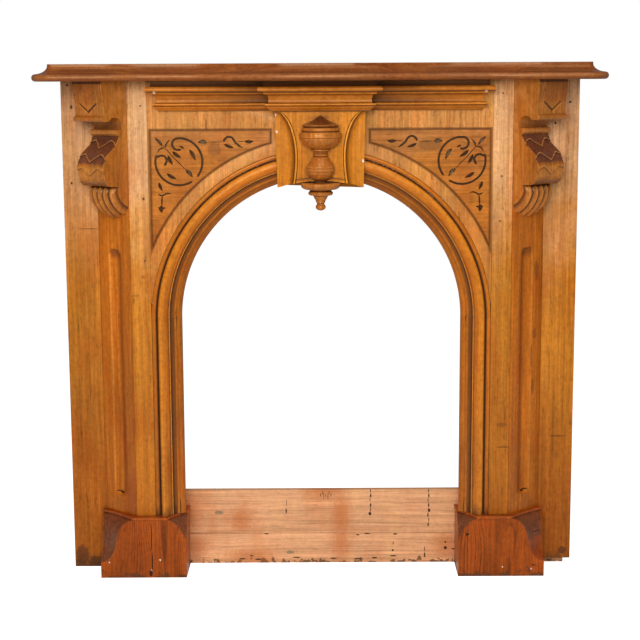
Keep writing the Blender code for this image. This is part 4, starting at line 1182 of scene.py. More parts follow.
def leaf_stroke(root, tip, width, lean=1):
    """A pointed leaf as its rim and its floor, cut steep on one side and sloping on the other."""
    root = Vector(root)
    tip = Vector(tip)
    across = (tip - root).orthogonal().normalized() * width / 2 * lean
    swell = (0.0, 0.62, 0.95, 1.0, 0.80, 0.42, 0.0)
    steep = []
    slope = []
    for i, wide in enumerate(swell):
        spine = root.lerp(tip, i / (len(swell) - 1))
        steep.append(spine + across * wide)
        slope.append(spine - across * wide)
    rim = steep + slope[-2:0:-1]
    floor = steep + [b.lerp(a, 0.62) for a, b in zip(steep[-2:0:-1], slope[-2:0:-1])]
    return rim, floor


def line_stroke(points, width):
    """A line of even width with pointed ends, as its rim and its narrower floor."""
    path = [Vector(point) for point in points]
    last = len(path) - 1
    outlines = []
    for part in (1.0, 0.62):
        left = []
        right = []
        for i, point in enumerate(path):
            along = (path[min(last, i + 1)] - path[max(0, i - 1)]).normalized()
            taper = 0.30 if i in (0, last) else 1.0
            across = Vector((-along.y, along.x)) * width / 2 * taper * part
            left.append(point + across)
            right.append(point - across)
        outlines.append(left + right[::-1])
    return outlines[0], outlines[1]


def scroll_strokes():
    """Strokes of the incised scrollwork, in grid steps from the outer edge and below the top edge."""
    ring = (70.5, 77.5)
    radius = 58.5
    upper_curl = arc((69, 34), 14.5, -80, -300, 20)
    upper_ring = arc(ring, radius, -83, 40, 40)
    lower_curl = arc((27.5, 74.5), 12.5, 60, -135, 18)
    lower_ring = arc(ring, radius, 194, 56, 40)
    thin = 2.2
    bold = 5.6
    strokes = [line_stroke(upper_curl[::-1] + upper_ring, bold),
               line_stroke(lower_curl + lower_ring, bold),
               line_stroke([(28, 35), (44, 51.5), (60, 70), (77, 87), (93, 104)], thin),
               leaf_stroke((87, 97), (104.5, 117), 13, -1),
               leaf_stroke((31, 39), (11, 17), 10),
               line_stroke([(36.5, 43), (38.5, 37), (41, 31.5), (48, 23)], 4.2),
               line_stroke([(35, 44), (29, 43.5), (23, 46.5), (16.5, 56)], 4.0),
               leaf_stroke((54, 52), (77, 69), 11),
               leaf_stroke((97, 47), (113, 76), 12, -1),
               leaf_stroke((43, 62), (55, 86), 11),
               leaf_stroke((39, 107), (64, 121), 11),
               leaf_stroke((19, 129), (28, 151), 10),
               leaf_stroke((84, 45), (72, 39), 6),
               leaf_stroke((40, 82), (34, 88), 6),
               line_stroke([(17, 157), (22, 161), (29, 162), (36, 157.5), (43, 156), (51, 158)], 3.8),
               line_stroke([(27.5, 162), (26.5, 171), (26, 180), (25, 191)], 4.0),
               leaf_stroke((15, 192), (36, 193), 7),
               leaf_stroke((25, 186), (25, 206), 14),
               leaf_stroke((142, 30), (118, 29.5), 14),
               line_stroke([(140, 29.7), (160, 29.3), (181, 29)], thin)]
    hook = arc((196, 29), 12.5, 180, 330, 18) + [(212, 31), (220, 38), (230, 44)]
    strokes += [line_stroke(hook, bold),
                leaf_stroke((183, 35), (208, 44), 10),
                line_stroke([(217.5, 28.5), (227, 28.3), (238, 28)], thin),
                leaf_stroke((234, 28), (258, 28), 11)]
    return strokes


class MANTEL_OT_spandrel_panels(bpy.types.Operator):
    """Models the sunk spandrel panels and cuts their scrollwork"""

    bl_idname = "mantel.spandrel_panels"
    bl_label = "Spandrel Panels"

    def execute(self, context):
        colours = context.scene.mantel_colours
        cut = context.scene.mantel_carving.scroll_depth
        face = FRONT - 0.004
        fit = 0.003 + FIT_GAP
        face_y = BACK_Y - face
        outer = PANEL_OUTER - 0.003
        top = PANEL_TOP - 0.003
        for side, word in SIDES:
            rings = [[place(side, half, depth, height) for half, height in panel_outline(fit)]
                     for depth in (face - 0.008, face)]
            item = swept("panel", rings)
            for rim, floor in scroll_strokes():
                levels = ((rim, face + 0.001), (rim, face - 0.0001), (floor, face - cut))
                rings = [[place(side, outer - across * SCROLL_GRID, depth, top - down * SCROLL_GRID)
                          for across, down in outline] for outline, depth in levels]
                cut_away(item, swept("stroke", rings))
            if side < 0:
                stains = (mark(-0.2660, face_y, 1.112, 0.020, 0.020),)
            else:
                stains = (mark(0.2759, face_y, 1.1219, 0.034, 0.017),)
            finish = wood(f"panel_finish_{word}", colours.panels, ring_width=0.024, ring_share=0.25,
                          ramp=(1.0, 1.3), top_sheen=(0.50, 0.21, 0.07), sheen_share=0.6, start=9.4 + side,
                          wander=1.2, shade_cuts_behind=face_y, stains=stains, grime=0.0, hollow_share=0.7,
                          stain_share=0.45, rim=0.75)
            finish_piece(item, f"spandrel_panel_{word}_wood", [f"spandrel_panel_{word}"],
                         finish, lengthwise, 30, fine=False)
        return {"FINISHED"}


# Keystone and urn

def key_field_half(height):
    """Half width of the flat field of the keystone at a height."""
    waist_half = 0.0556
    waist = KEY_BOTTOM + 0.068
    if height < waist:
        below = (waist - height) / (waist - KEY_BOTTOM)
        return waist_half + (KEY_BOTTOM_HALF - waist_half) * 0.11 * below * below
    above = min(1.0, (height - waist) / (KEY_TOP - waist))
    return waist_half + (0.107 - waist_half) * (1 - math.sqrt(1 - above * above))


def keystone_rings():
    """Level slices of the keystone, each going along the front and back along the rear."""
    back = FRONT + FIT_GAP
    face = back + 0.037
    cheek = face - 0.018
    sink = 0.004
    ledge = 0.010 / (KEY_TOP - KEY_BOTTOM)
    shares = [0.0, 0.004, ledge * 0.96, ledge * 1.0, ledge * 1.04]
    rows = 46
    shares += [ledge * 1.04 + (1 - ledge * 1.04) * (i / rows) for i in range(1, rows + 1)]
    cove_tones = [-0.05, -0.15, -0.3, -0.45, -0.6, -0.7, -0.8, -0.85]
    rings = []
    tones = []
    for index, share_up in enumerate(shares):
        height = KEY_BOTTOM + (KEY_TOP - KEY_BOTTOM) * share_up
        outer = KEY_BOTTOM_HALF + (KEY_TOP_HALF - KEY_BOTTOM_HALF) * share_up
        field = key_field_half(height)
        proud = (0.0030, 0.004, 0.004, 0.0024, 0.0)[min(index, 4)]
        room = outer - field
        band = min(0.007, room * 0.25)
        cove = min(0.020, room * 0.60)
        left = [(outer, cheek - 0.0006), (outer - min(0.0006, room * 0.1), cheek)]
        left.append((field + band + cove, cheek + sink / 8))
        for i in range(1, 9):
            angle = math.radians(90 * i / 9)
            left.append((field + band + cove * (1 - math.sin(angle)),
                         cheek + (face - sink - cheek) * (1 - math.cos(angle))))
        left += [(field + band, face - sink), (field + band * 0.82, face - sink + 0.0009),
                 (field + band * 0.45, face - sink + 0.0009), (field + band * 0.2, face - sink),
                 (field, face + proud), (field - band * 0.2, face + proud), (field * 0.5, face + proud)]
        ring = [(-half, depth) for half, depth in left]
        ring.append((0.0, face + proud))
        ring += [(half, depth) for half, depth in reversed(left)]
        ring += [(x, back) for x, _ in reversed(ring)]
        points = []
        for x, depth in ring:
            rise = max(0.0, 0.018 * (1 - (x / KEY_BOTTOM_HALF) ** 2))
            points.append(Vector((x, BACK_Y - depth, height + rise * (1 - share_up))))
        rings.append(points)
        # Painted light and shade: shade deepening into the cove, a highlight on the band's crest with shade
        # either side, and a dark line across the field at the top of the ledge.
        tone = [0.0, 0.0, 0.0] + cove_tones + [-0.6, 0.5, 0.6, -0.9, 0.25, 0.0, 0.0]
        if index in (2, 3):
            tone[-3:] = [-0.8, -0.8, -0.8]
        middle = tone[-1]
        front = tone + [middle] + tone[::-1]
        tones.append(front + [0.0] * len(front))
    return rings, tones


def keystone_rebate():
    """The space in the back of the keystone that the arch moulding runs through."""
    top = MOULDING_OUTER + 0.001
    foot = OPENING_RADIUS - 0.054
    front = FRONT + 0.006
    section = ((foot, FRONT_BACK), (top, FRONT_BACK), (top, front), (foot, front))
    reach = math.asin(KEY_TOP_HALF / MOULDING_OUTER) * 1.5
    steps = 32
    rings = []
    for i in range(steps + 1):
        angle = math.pi / 2 - reach + 2 * reach * i / steps
        rings.append([place(1, radius * math.cos(angle), depth, SPRING_HEIGHT + radius * math.sin(angle))
                      for radius, depth in section])
    return swept("rebate", rings)


class MANTEL_OT_keystone(bpy.types.Operator):
    """Models the keystone block with its curved field, double bands and ledge"""

    bl_idname = "mantel.keystone"
    bl_label = "Keystone"

    def execute(self, context):
        colours = context.scene.mantel_colours
        rings, tones = keystone_rings()
        item = swept("keystone", rings, {"painted": tones})
        cut_away(item, keystone_rebate())
        key_y = BACK_Y - FRONT - 0.020
        paint = (mark(-0.1085, key_y, 1.156, 0.0032, 0.0036, 0.02),
                 mark(0.1065, key_y, 1.083, 0.003, 0.0045, 0.02),
                 mark(-0.1115, key_y, 1.198, 0.003, 0.003, 0.02))
        finish = wood("keystone_finish", colours.keystone, ring_width=0.016, ring_share=0.34, ramp=(2, 3),
                      start=6.2, wander=0.8, roughness=0.28, coat=0.06, pale_marks=paint, grime=0.0,
                      rubbed_and_lit_share=0.5, hollow_share=0.85)
        finish_piece(item, "keystone_block_wood", ["keystone_block"], finish, upright, 30)
        return {"FINISHED"}


def urn_profile():
    """Turned profile of the urn and drop, as (radius, height), drawn in millimetres below its apex."""
    apex = KEY_TOP - 0.0097
    rim = 0.047
    bowl = 0.052
    neck = 0.018
    vase = 0.036
    disc = 0.0495
    ring = 0.031
    drawn = [(0.0006, 0), (rim * 0.16, 5.5), (rim * 0.40, 12.0), (rim * 0.66, 18.0), (rim * 0.88, 22.6),
             (rim * 0.94, 23.2), (rim * 0.96, 24.6), (rim * 0.93, 26.6), (rim * 0.87, 28.4),
             (rim * 0.90, 30.4), (rim * 0.97, 31), (rim, 32.5), (rim * 1.01, 35.5), (rim, 38.5),
             (rim * 0.965, 39.6), (rim * 0.955, 40.8), (bowl * 0.99, 42.2)]
    drawn += bezier((bowl * 0.99, 42.2), (bowl * 1.02, 45), (bowl * 1.035, 50), (bowl * 1.03, 54), 4)
    drawn += [(bowl * 1.005, 54.8), (bowl * 0.995, 55.6), (bowl * 1.015, 56.5)]
    drawn += bezier((bowl * 1.015, 56.5), (bowl * 0.98, 64), (bowl * 0.82, 75), (neck * 1.6, 81), 12)
    drawn += [(neck * 1.22, 82.5), (neck * 1.20, 83.5), (neck * 1.36, 85), (neck * 1.38, 87),
              (neck * 1.2, 88.6), (neck, 89.5), (neck * 0.90, 92), (neck * 0.90, 95), (neck * 1.02, 96.5),
              (neck * 1.08, 98.5), (neck * 1.02, 100.4), (neck * 0.97, 102), (neck * 1.10, 103.2),
              (neck * 1.20, 105)]
    drawn += bezier((neck * 1.20, 105), (vase * 0.70, 114), (vase * 0.86, 120), (vase * 0.90, 125), 7)
    drawn += [(vase * 0.965, 126), (vase * 0.985, 129), (vase * 0.955, 131.5), (vase * 0.99, 132.5),
              (vase, 136), (vase * 0.965, 139), (vase * 0.925, 140), (vase * 0.93, 143),
              (vase * 0.86, 146.5)]
    drawn += bezier((vase * 0.86, 146.5), (vase * 0.80, 151), (neck * 1.4, 156), (neck * 1.1, 160), 7)
    drawn += [(neck * 0.80, 161.5), (neck * 0.76, 163), (neck * 0.86, 165), (neck * 0.80, 167),
              (disc * 0.93, 167.8), (disc * 0.985, 169), (disc, 171), (disc * 0.99, 175),
              (disc * 0.955, 178.5), (disc * 0.88, 181.5), (disc * 0.80, 183.3), (ring * 0.92, 184.6),
              (ring * 0.86, 186.5), (ring * 0.90, 188.3), (ring * 0.98, 189.8), (ring, 192),
              (ring * 0.985, 195.5), (ring * 0.90, 197.8), (neck * 1.12, 199), (neck, 200.4),
              (neck * 0.99, 203), (neck * 0.88, 204.6), (neck * 0.86, 207), (neck * 0.80, 208.2),
              (neck * 0.69, 210), (neck * 0.71, 212.5), (neck * 0.62, 214), (neck * 0.64, 216),
              (neck * 0.50, 217.6)]
    ball_top = 218
    ball_radius = 0.0128
    ball_half_drop = 9.25
    for i in range(1, 15):
        angle = math.radians(48 - 137 * i / 14)
        drawn.append((ball_radius * math.cos(angle), ball_top + ball_half_drop * (1 - math.sin(angle))))
    return [(radius, apex - down * 0.001) for radius, down in drawn]


class MANTEL_OT_urn(bpy.types.Operator):
    """Models the half-turned urn and drop in front of the keystone"""

    bl_idname = "mantel.urn"
    bl_label = "Urn and Drop"

    def execute(self, context):
        colours = context.scene.mantel_colours
        back = FRONT + 2 * FIT_GAP + 0.041
        profile = urn_profile()
        outline = profile + [(0.0, profile[-1][1]), (0.0, profile[0][1])]
        item = turned("urn", outline, context.scene.mantel_carving.urn_steps)
        make_active(item)
        bpy.ops.object.mode_set(mode="EDIT")
        bpy.ops.mesh.select_all(action="SELECT")
        bpy.ops.transform.translate(value=(0, BACK_Y - back, 0))
        bpy.ops.object.mode_set(mode="OBJECT")
        # Painted shade and dark reflection darken the urn's top, from 1.166 to 1.215 m.
        finish = wood("urn_finish", colours.carved, ring_width=0.010, ring_share=0.45, ramp=(2, 3),
                      start=8.8, roughness=0.25, coat=0.09, grime=0.0, rubbed_and_lit_share=0.7, wander=0.6,
                      hollow_share=0.95, shaded_band=(0.085, 0.022, 0.009), shaded_band_span=(1.166, 1.215),
                      painted_dark_share=0.85)
        finish_piece(item, "keystone_urn_drop_wood", ["keystone_urn_drop"], finish,
                     upright, 50)
        return {"FINISHED"}


# Corbels

CORBEL_STEP = 0.001
BLOCK_SHIFT = 0.10
CORBEL_BLOCK_SPAN = (0.0645, 0.0535)
CORBEL_BODY_SPAN = (0.0665, 0.0490)


def corbel_profile():
    """Side outline of a corbel from its top down, as (proud, height, kind of surface)."""
    top = LEG_TOP
    step = CORBEL_STEP
    proud = 0.086
    block_foot = SHELF_UNDERSIDE - 0.087
    drawn = []

    def draw(kind, points):
        drawn.extend((w, z, kind) for w, z in points)

    block_top = (proud - 3 * step, top)
    draw("block", [block_top])
    taper = proud - 11 * step
    draw("block", bezier(block_top, (block_top[0], top - 30 * step),
                         (taper, top - 45 * step), (taper, block_foot + 4 * step), 46))
    roll = 0.0062
    draw("roll", arc((proud - roll - 3 * step, block_foot - roll), roll, 80, -90, 12))
    under = block_foot - 0.012
    neck_proud = 0.027
    draw("roll", arc((0.040, under - 0.0145), 0.0245, 38, 198, 22))
    draw("body", arc((neck_proud, under - 28 * step), 7 * step, 108, -75, 12))
    neck = (neck_proud, under - 38 * step)
    bulge = (0.081, under - 118 * step)
    draw("scale", bezier(neck, (neck_proud + 7 * step, neck[1] - 34 * step),
                         (bulge[0], bulge[1] + 46 * step), bulge, 110))
    tuck = (0.080 - 30 * step, under - 162 * step)
    draw("scale", bezier(bulge, (bulge[0], bulge[1] - 28 * step),
                         (tuck[0] + 18 * step, tuck[1] - 2 * step), tuck, 60))
    leaf_foot = (9 * step, LEG_TOP - 0.345)
    leaf_start = (tuck[0] - 4 * step, tuck[1] - step)
    draw("leaf", [leaf_start])
    draw("leaf", bezier(leaf_start, (leaf_start[0] + 24 * step, leaf_start[1] - 18 * step),
                        (46 * step, leaf_foot[1] + 22 * step), leaf_foot, 44))
    return drawn


def block_v(reach):
    """Travel at which the cut V on a corbel's block lies, at a reach from its point."""
    return 0.945 - 0.235 * (reach / 0.60)


def scale_height(across):
    """Edge of a carved scale, two lobes with a point between them, from -1 to 0."""
    reach = abs(across)
    if reach < 0.55:
        return -(1 - reach / 0.55)
    return -0.45 * ((reach - 0.55) / 0.45) ** 2


def leaf_lobe(across):
    """Height of the leaf's five fingers across its width, from 0 in a gap to 1 on a crown."""
    return abs(math.sin(math.pi * 5 * (across + 1) / 2)) ** 0.6


def scale_phase(across, travel):
    """How many scale edges lie above a point of the corbel's body."""
    return (travel - 0.235) / 0.27 + 0.55 * (scale_height(across + 0.08) + 1)


def carve(kind, across, travel, sizes):
    """How far the carving goes below the surface; travel runs down the surface from 0 to 1."""
    if kind == "scale":
        phase = scale_phase(across, travel)
        left = phase - math.floor(phase)
        rise = min(1.0, left / 0.07)
        return sizes.scale_depth * (1 - left) * rise * min(1.0, (1 - travel) / 0.15)
    if kind == "leaf":
        return sizes.leaf_depth * (1 - leaf_lobe(across)) * min(1.0, 0.45 + travel)
    if kind == "block":
        reach = abs(across + BLOCK_SHIFT)
        line = max(0.0, 1 - abs(reach - 0.72) / 0.04) if travel < 0.90 else 0.0
        notch = max(0.0, 1 - abs(travel - block_v(reach)) / 0.040) if reach < 0.60 else 0.0
        return sizes.cut_depth * max(0.5 * line, 1.5 * notch)
    return 0.0


def dark_reflection_weight(kind, travel):
    """How much a corbel is darkened, from 0 to 1: a painted dark reflection over its upper scales, and a
    lighter darkening over the top of its block.
    """
    if kind == "scale":
        return 1 - ease((travel - 0.50) / 0.10)
    if kind == "block":
        return 0.20 * (1 - ease((travel - 0.50) / 0.15))
    return 0.0


def carved_light_and_shade(kind, across, travel):
    """Painted light and shade on the carving: 1 a painted highlight on a lip or edge, -1 painted shade in a
    cut.
    """
    # Painted highlight along the edge between the front and the side.
    rubbed_and_lit_edge = 0.6 if across > 0.955 else 0.0
    if kind == "scale":
        # Painted shade in each scale's cut and a painted highlight on its proud lip.
        phase = scale_phase(across, travel)
        left = phase - math.floor(phase)
        cut = max(0.0, 1 - left / (0.16 if phase < 2 else 0.10))
        # Painted highlight over the bulge (golden) and painted shade under it (under).
        golden = 0.45 * ease((travel - 0.55) / 0.10) * (1 - ease((travel - 0.80) / 0.10))
        under = 0.75 * ease((travel - 0.84) / 0.14)
        if cut > 0 and phase > 0:
            return -cut
        if left > 0.92 and phase < 1.95:
            return 0.70
        return max(rubbed_and_lit_edge, golden) - under
    if kind == "leaf":
        # Painted highlights on the leaf's crowns, painted shade in its gaps and at its top under the tuck.
        lobe = leaf_lobe(across)
        crown = max(0.0, (lobe - 0.90) / 0.10) * 0.9 * (1 - travel) ** 0.5
        return crown - 1.1 * max(0.0, 1 - lobe / 0.88) - max(0.0, 0.9 - 9 * travel) - 0.12
    if kind == "block":
        reach = abs(across + BLOCK_SHIFT)
        below = (travel - block_v(reach)) / 0.040
        # Painted shade in the V cut and a painted highlight on its lower lip.
        if reach < 0.60 and -1 < below < 2.2:
            return -1.0 if below < 0.5 else 0.5
        # Painted shadow of the shelf across the top of the block, and a painted highlight on its lower part.
        if travel < 0.07:
            return -0.9
        return max(rubbed_and_lit_edge, 0.35 * ease((travel - 0.66) / 0.10))
    if kind == "roll":
        return rubbed_and_lit_edge
    # The curl under the roll gets a painted highlight.
    return 0.45


class MANTEL_OT_corbels(bpy.types.Operator):
    """Models the two scroll corbels with their scales and lobed leaves"""

    bl_idname = "mantel.corbels"
    bl_label = "Corbels"

    def execute(self, context):
        colours = context.scene.mantel_colours
        sizes = context.scene.mantel_carving
        profile = corbel_profile()
        travel_of = [0.0] * len(profile)
        for kind in ("block", "scale", "leaf"):
            own = [i for i, point in enumerate(profile) if point[2] == kind]
            for order, i in enumerate(own):
                travel_of[i] = order / (len(own) - 1)
            if kind == "scale":
                upper = profile[own[0]][1]
                lower = profile[own[-1]][1]
                for i in own:
                    travel_of[i] = (upper - profile[i][1]) / (upper - lower)
        along = Vector((-CANT_RUN, CANT_DEPTH)).normalized()
        out = Vector((along.y, -along.x))
        origin = Vector((WING_INNER, WING_FRONT))
        columns = 96
        spread = [-1.0] + [-0.9995 + 1.999 * i / columns for i in range(columns + 1)] + [1.0]
        for side, word in SIDES:
            rings = []
            # The two lists below hold, slice by slice, the painted light and shade and the painted dark
            # reflection.
            paint = []
            stain = []
            for across in spread:
                shown = abs(across) < 1
                paint.append([0.0] + [shown * carved_light_and_shade(kind, across, travel)
                                      for (_, _, kind), travel in zip(profile, travel_of)] + [0.0])
                stain.append([0.0] + [shown * dark_reflection_weight(kind, travel)
                                      for (_, _, kind), travel in zip(profile, travel_of)] + [0.0])
                ring = [(FIT_GAP, LEG_TOP, CORBEL_BLOCK_SPAN)]
                for (proud, height, kind), travel in zip(profile, travel_of):
                    depth = carve(kind, across, travel, sizes)
                    span = CORBEL_BLOCK_SPAN if kind in ("block", "roll") else CORBEL_BODY_SPAN
                    if kind == "leaf":
                        gap = 1 - leaf_lobe(across)
                        height += (0.020 * abs(across) ** 2 + 0.011 * gap) * travel ** 1.5
                        proud -= 0.24 * proud * abs(across) ** 3
                    ring.append((max(FIT_GAP + CORBEL_STEP, proud - depth), height, span))
                ring.append((FIT_GAP, ring[-1][1], CORBEL_BODY_SPAN))
                slice_points = []
                for proud, height, (centre, half_span) in ring:
                    plan = origin + along * (centre + across * half_span) + out * proud
                    slice_points.append(place(side, plan.x, plan.y, height))
                rings.append(slice_points)
            item = swept("corbel", rings, {"painted": paint, "dark_reflection": stain})
            # The corbel finish darkens its upper scales with a painted dark reflection.
            finish = wood(f"corbel_finish_{word}", colours.carved, ring_width=0.014, ring_share=0.35,
                          ramp=(2, 3), start=2.9 + side, roughness=0.25, coat=0.09, grime=0.0,
                          rubbed_and_lit_share=0.8, hollow_share=0.9, dark_reflection=(0.105, 0.030, 0.019), painted_dark_share=0.9)
            finish_piece(item, f"corbel_{word}_wood", [f"corbel_{word}"], finish,
                         upright, 45)
        return {"FINISHED"}


# Feet and braces

FOOT_LIP = FOOT_HEIGHT - 0.007
FOOT_FRONT = FRONT + 0.018
FOOT_OUTER_HALF = WING_INNER + 0.005
FOOT_INNER_HALF = OPENING_RADIUS - 0.004
OUTER_SCOOP_START = 0.040
OUTER_SCOOP_WIDTH = 0.087
OUTER_SCOOP_DEPTH = 0.085
INNER_SCOOP_START = 0.090
INNER_SCOOP_WIDTH = 0.048
INNER_SCOOP_DEPTH = 0.070
SCOOP_HOLLOW = 0.006


def inner_scoop_share(height):
    """How far the inner corner's scoop has drawn in at a height, from 0 at its start to 1 at the lip."""
    t = min(1.0, max(0.0, (height - INNER_SCOOP_START) / (FOOT_LIP - INNER_SCOOP_START)))
    return 1 - (1 - t ** 1.6) ** (1 / 1.6)


def outer_scoop_share(height):
    """The same for the outer corner, which has a foot, a steep side and a round shoulder."""
    curve = [(0.0, 0.0)] + bezier((0.0, 0.0), (0.26, 0.06), (0.40, 0.18), (0.46, 0.42), 16)
    curve += bezier((0.46, 0.42), (0.54, 0.74), (0.62, 0.97), (1.0, 1.0), 24)
    t = min(1.0, max(0.0, (height - OUTER_SCOOP_START) / (FOOT_LIP - OUTER_SCOOP_START)))
    for (near, low), (far, high) in zip(curve, curve[1:]):
        if low <= t <= high:
            return near + (far - near) * (t - low) / max(1e-9, high - low)
    return 1.0


def foot_plan(height, proud=0.0):
    """Plan of a foot block at a height, as (half, depth), and where the painted dark reflection lies in its
    scoops.
    """
    front = FOOT_FRONT + proud
    least_share = 0.006
    outer_share = max(least_share, outer_scoop_share(height))
    inner_share = max(least_share, inner_scoop_share(height))
    outer_half = FOOT_OUTER_HALF - OUTER_SCOOP_WIDTH * outer_share
    inner_half = FOOT_INNER_HALF + INNER_SCOOP_WIDTH * inner_share
    outer_end = Vector((FOOT_OUTER_HALF + proud, front - OUTER_SCOOP_DEPTH * outer_share))
    inner_end = Vector((FOOT_INNER_HALF - proud, front - INNER_SCOOP_DEPTH * inner_share))
    plan = [(WING_INNER - FIT_GAP, WING_BACK), (WING_INNER - FIT_GAP, WING_FRONT + FIT_GAP),
            (FOOT_OUTER_HALF + proud, WING_FRONT + FIT_GAP), tuple(outer_end)]
    stain = [0.0, 0.0, 0.0, 0.0]
    steps = 14
    for i in range(1, steps):
        t = i / steps
        spot = outer_end.lerp(Vector((outer_half, front)), t)
        spot.y -= SCOOP_HOLLOW * outer_share * math.sin(math.pi * t)
        plan.append(tuple(spot))
        stain.append(min(1.0, 12 * outer_share))
    plan += [(outer_half, front), (outer_half - 0.0008, front)]
    plan += [(outer_half + (inner_half - outer_half) * i / 6, front) for i in range(1, 6)]
    plan += [(inner_half + 0.0008, front), (inner_half, front)]
    stain += [min(1.0, 12 * outer_share)] + [0.0] * 7 + [min(1.0, 12 * inner_share)]
    for i in range(1, steps):
        t = i / steps
        spot = Vector((inner_half, front)).lerp(inner_end, t)
        spot.y -= SCOOP_HOLLOW * inner_share * math.sin(math.pi * t)
        plan.append(tuple(spot))
        stain.append(min(1.0, 12 * inner_share))
    plan += [tuple(inner_end), (FOOT_INNER_HALF - proud, WING_BACK)]
    stain += [min(1.0, 12 * inner_share), 0.0]
    return plan, stain


class MANTEL_OT_foot_blocks(bpy.types.Operator):
    """Models the foot blocks with their scooped corners and thin lips"""

    bl_idname = "mantel.foot_blocks"
    bl_label = "Foot Blocks"

    def execute(self, context):
        colours = context.scene.mantel_colours
        rows = 44
        levels = [(0.0, 0.0), (0.012, 0.0), (0.026, 0.0)]
        for i in range(rows + 1):
            t = i / rows
            climb = (FOOT_LIP - OUTER_SCOOP_START) * (1 - (1 - t) ** 1.7)
            levels.append((OUTER_SCOOP_START + climb, 0.0))
        levels += [(FOOT_LIP + FIT_GAP, 0.0018), (FOOT_LIP + 0.0012, 0.0025),
                   (FOOT_HEIGHT - 0.0012, 0.0025), (FOOT_HEIGHT, 0.0015)]
        foot_y = BACK_Y - FOOT_FRONT
        scoop_y = foot_y + 0.05
        cracks = {
            "left": (mark(-0.4444, foot_y, 0.110, 0.0016, 0.045), mark(-0.4436, foot_y, 0.045, 0.0020, 0.030),
                     mark(-0.4475, foot_y, 0.012, 0.0045, 0.010),
                     mark(-0.5560, scoop_y, 0.098, 0.012, 0.0013, 0.05)),
            "right": (mark(0.3773, foot_y, 0.1133, 0.005, 0.0045), mark(0.5500, foot_y, 0.030, 0.006, 0.0020),
                      mark(0.5600, scoop_y, 0.1130, 0.019, 0.0014, 0.06)),
        }
        pale = {
            "left": (mark(-0.4230, foot_y, 0.0480, 0.0026, 0.0030),
                     mark(-0.4460, foot_y, 0.0200, 0.0024, 0.0024),
                     mark(-0.5560, foot_y, 0.0420, 0.0022, 0.0024)),
            "right": (mark(0.4700, foot_y, 0.0250, 0.0024, 0.0020),
                      mark(0.5450, foot_y, 0.0200, 0.0024, 0.0024)),
        }
        for side, word in SIDES:
            rings = []
            # The list below holds, row by row, the painted dark reflection in the scoops.
            stains = []
            for height, proud in levels:
                plan, stain = foot_plan(min(height, FOOT_LIP), proud)
                rings.append([place(side, half, depth, height) for half, depth in plan])
                repaired = 0.25 if side > 0 and 0.034 < height < 0.100 else 1.0
                outer_points = len(stain) // 2
                stain = [weight * repaired if i < outer_points else weight for i, weight in enumerate(stain)]
                stains.append([weight if height <= FOOT_LIP else 0.0 for weight in stain])
            item = swept("foot", rings, {"dark_reflection": stains})
            finish = wood(f"foot_finish_{word}", colours.feet, ring_width=0.0075, ring_share=0.75,
                          ramp=(2, 3), late=(0.115, 0.020, 0.005), start=12.4 + side, wander=2.0,
                          roughness=0.30, coat=0.05, holes_and_shadows=cracks[word], pale_marks=pale[word],
                          grime=0.016, figure=0.5, bump=0.4, rubbed_and_lit_share=0.6, hollow_share=0.5,
                          dark_reflection=(0.150, 0.052, 0.024), painted_dark_share=0.85)
            finish_piece(item, f"foot_block_{word}_wood", [f"foot_block_{word}"], finish,
                         upright, 30)
        return {"FINISHED"}


def nail_line(across, depth, top, bottom):
    """Short dark runs, one under the other, where nails have discoloured a board."""
    runs = max(2, round((top - bottom) / 0.014))
    pitch = (top - bottom) / runs
    line = []
    for i in range(runs):
        sway = 0.0011 * math.sin(2.3 * i)
        height = top - pitch * (i + 0.5)
        line.append(mark(across + sway, depth, height, 0.0013 + 0.0009 * (i % 2), 0.50 * pitch))
    return line


def knot_rays(across, depth, height):
    """Short dark strokes that spread from a knot."""
    strokes = []
    for i in range(9):
        lean = -1.4 + 0.35 * i
        away = 0.009 + 0.007 * (i % 2)
        strokes.append(mark(across + away * math.sin(lean), depth,
                            height + 0.006 - away * math.cos(lean), 0.0009, 0.0060))
    return strokes


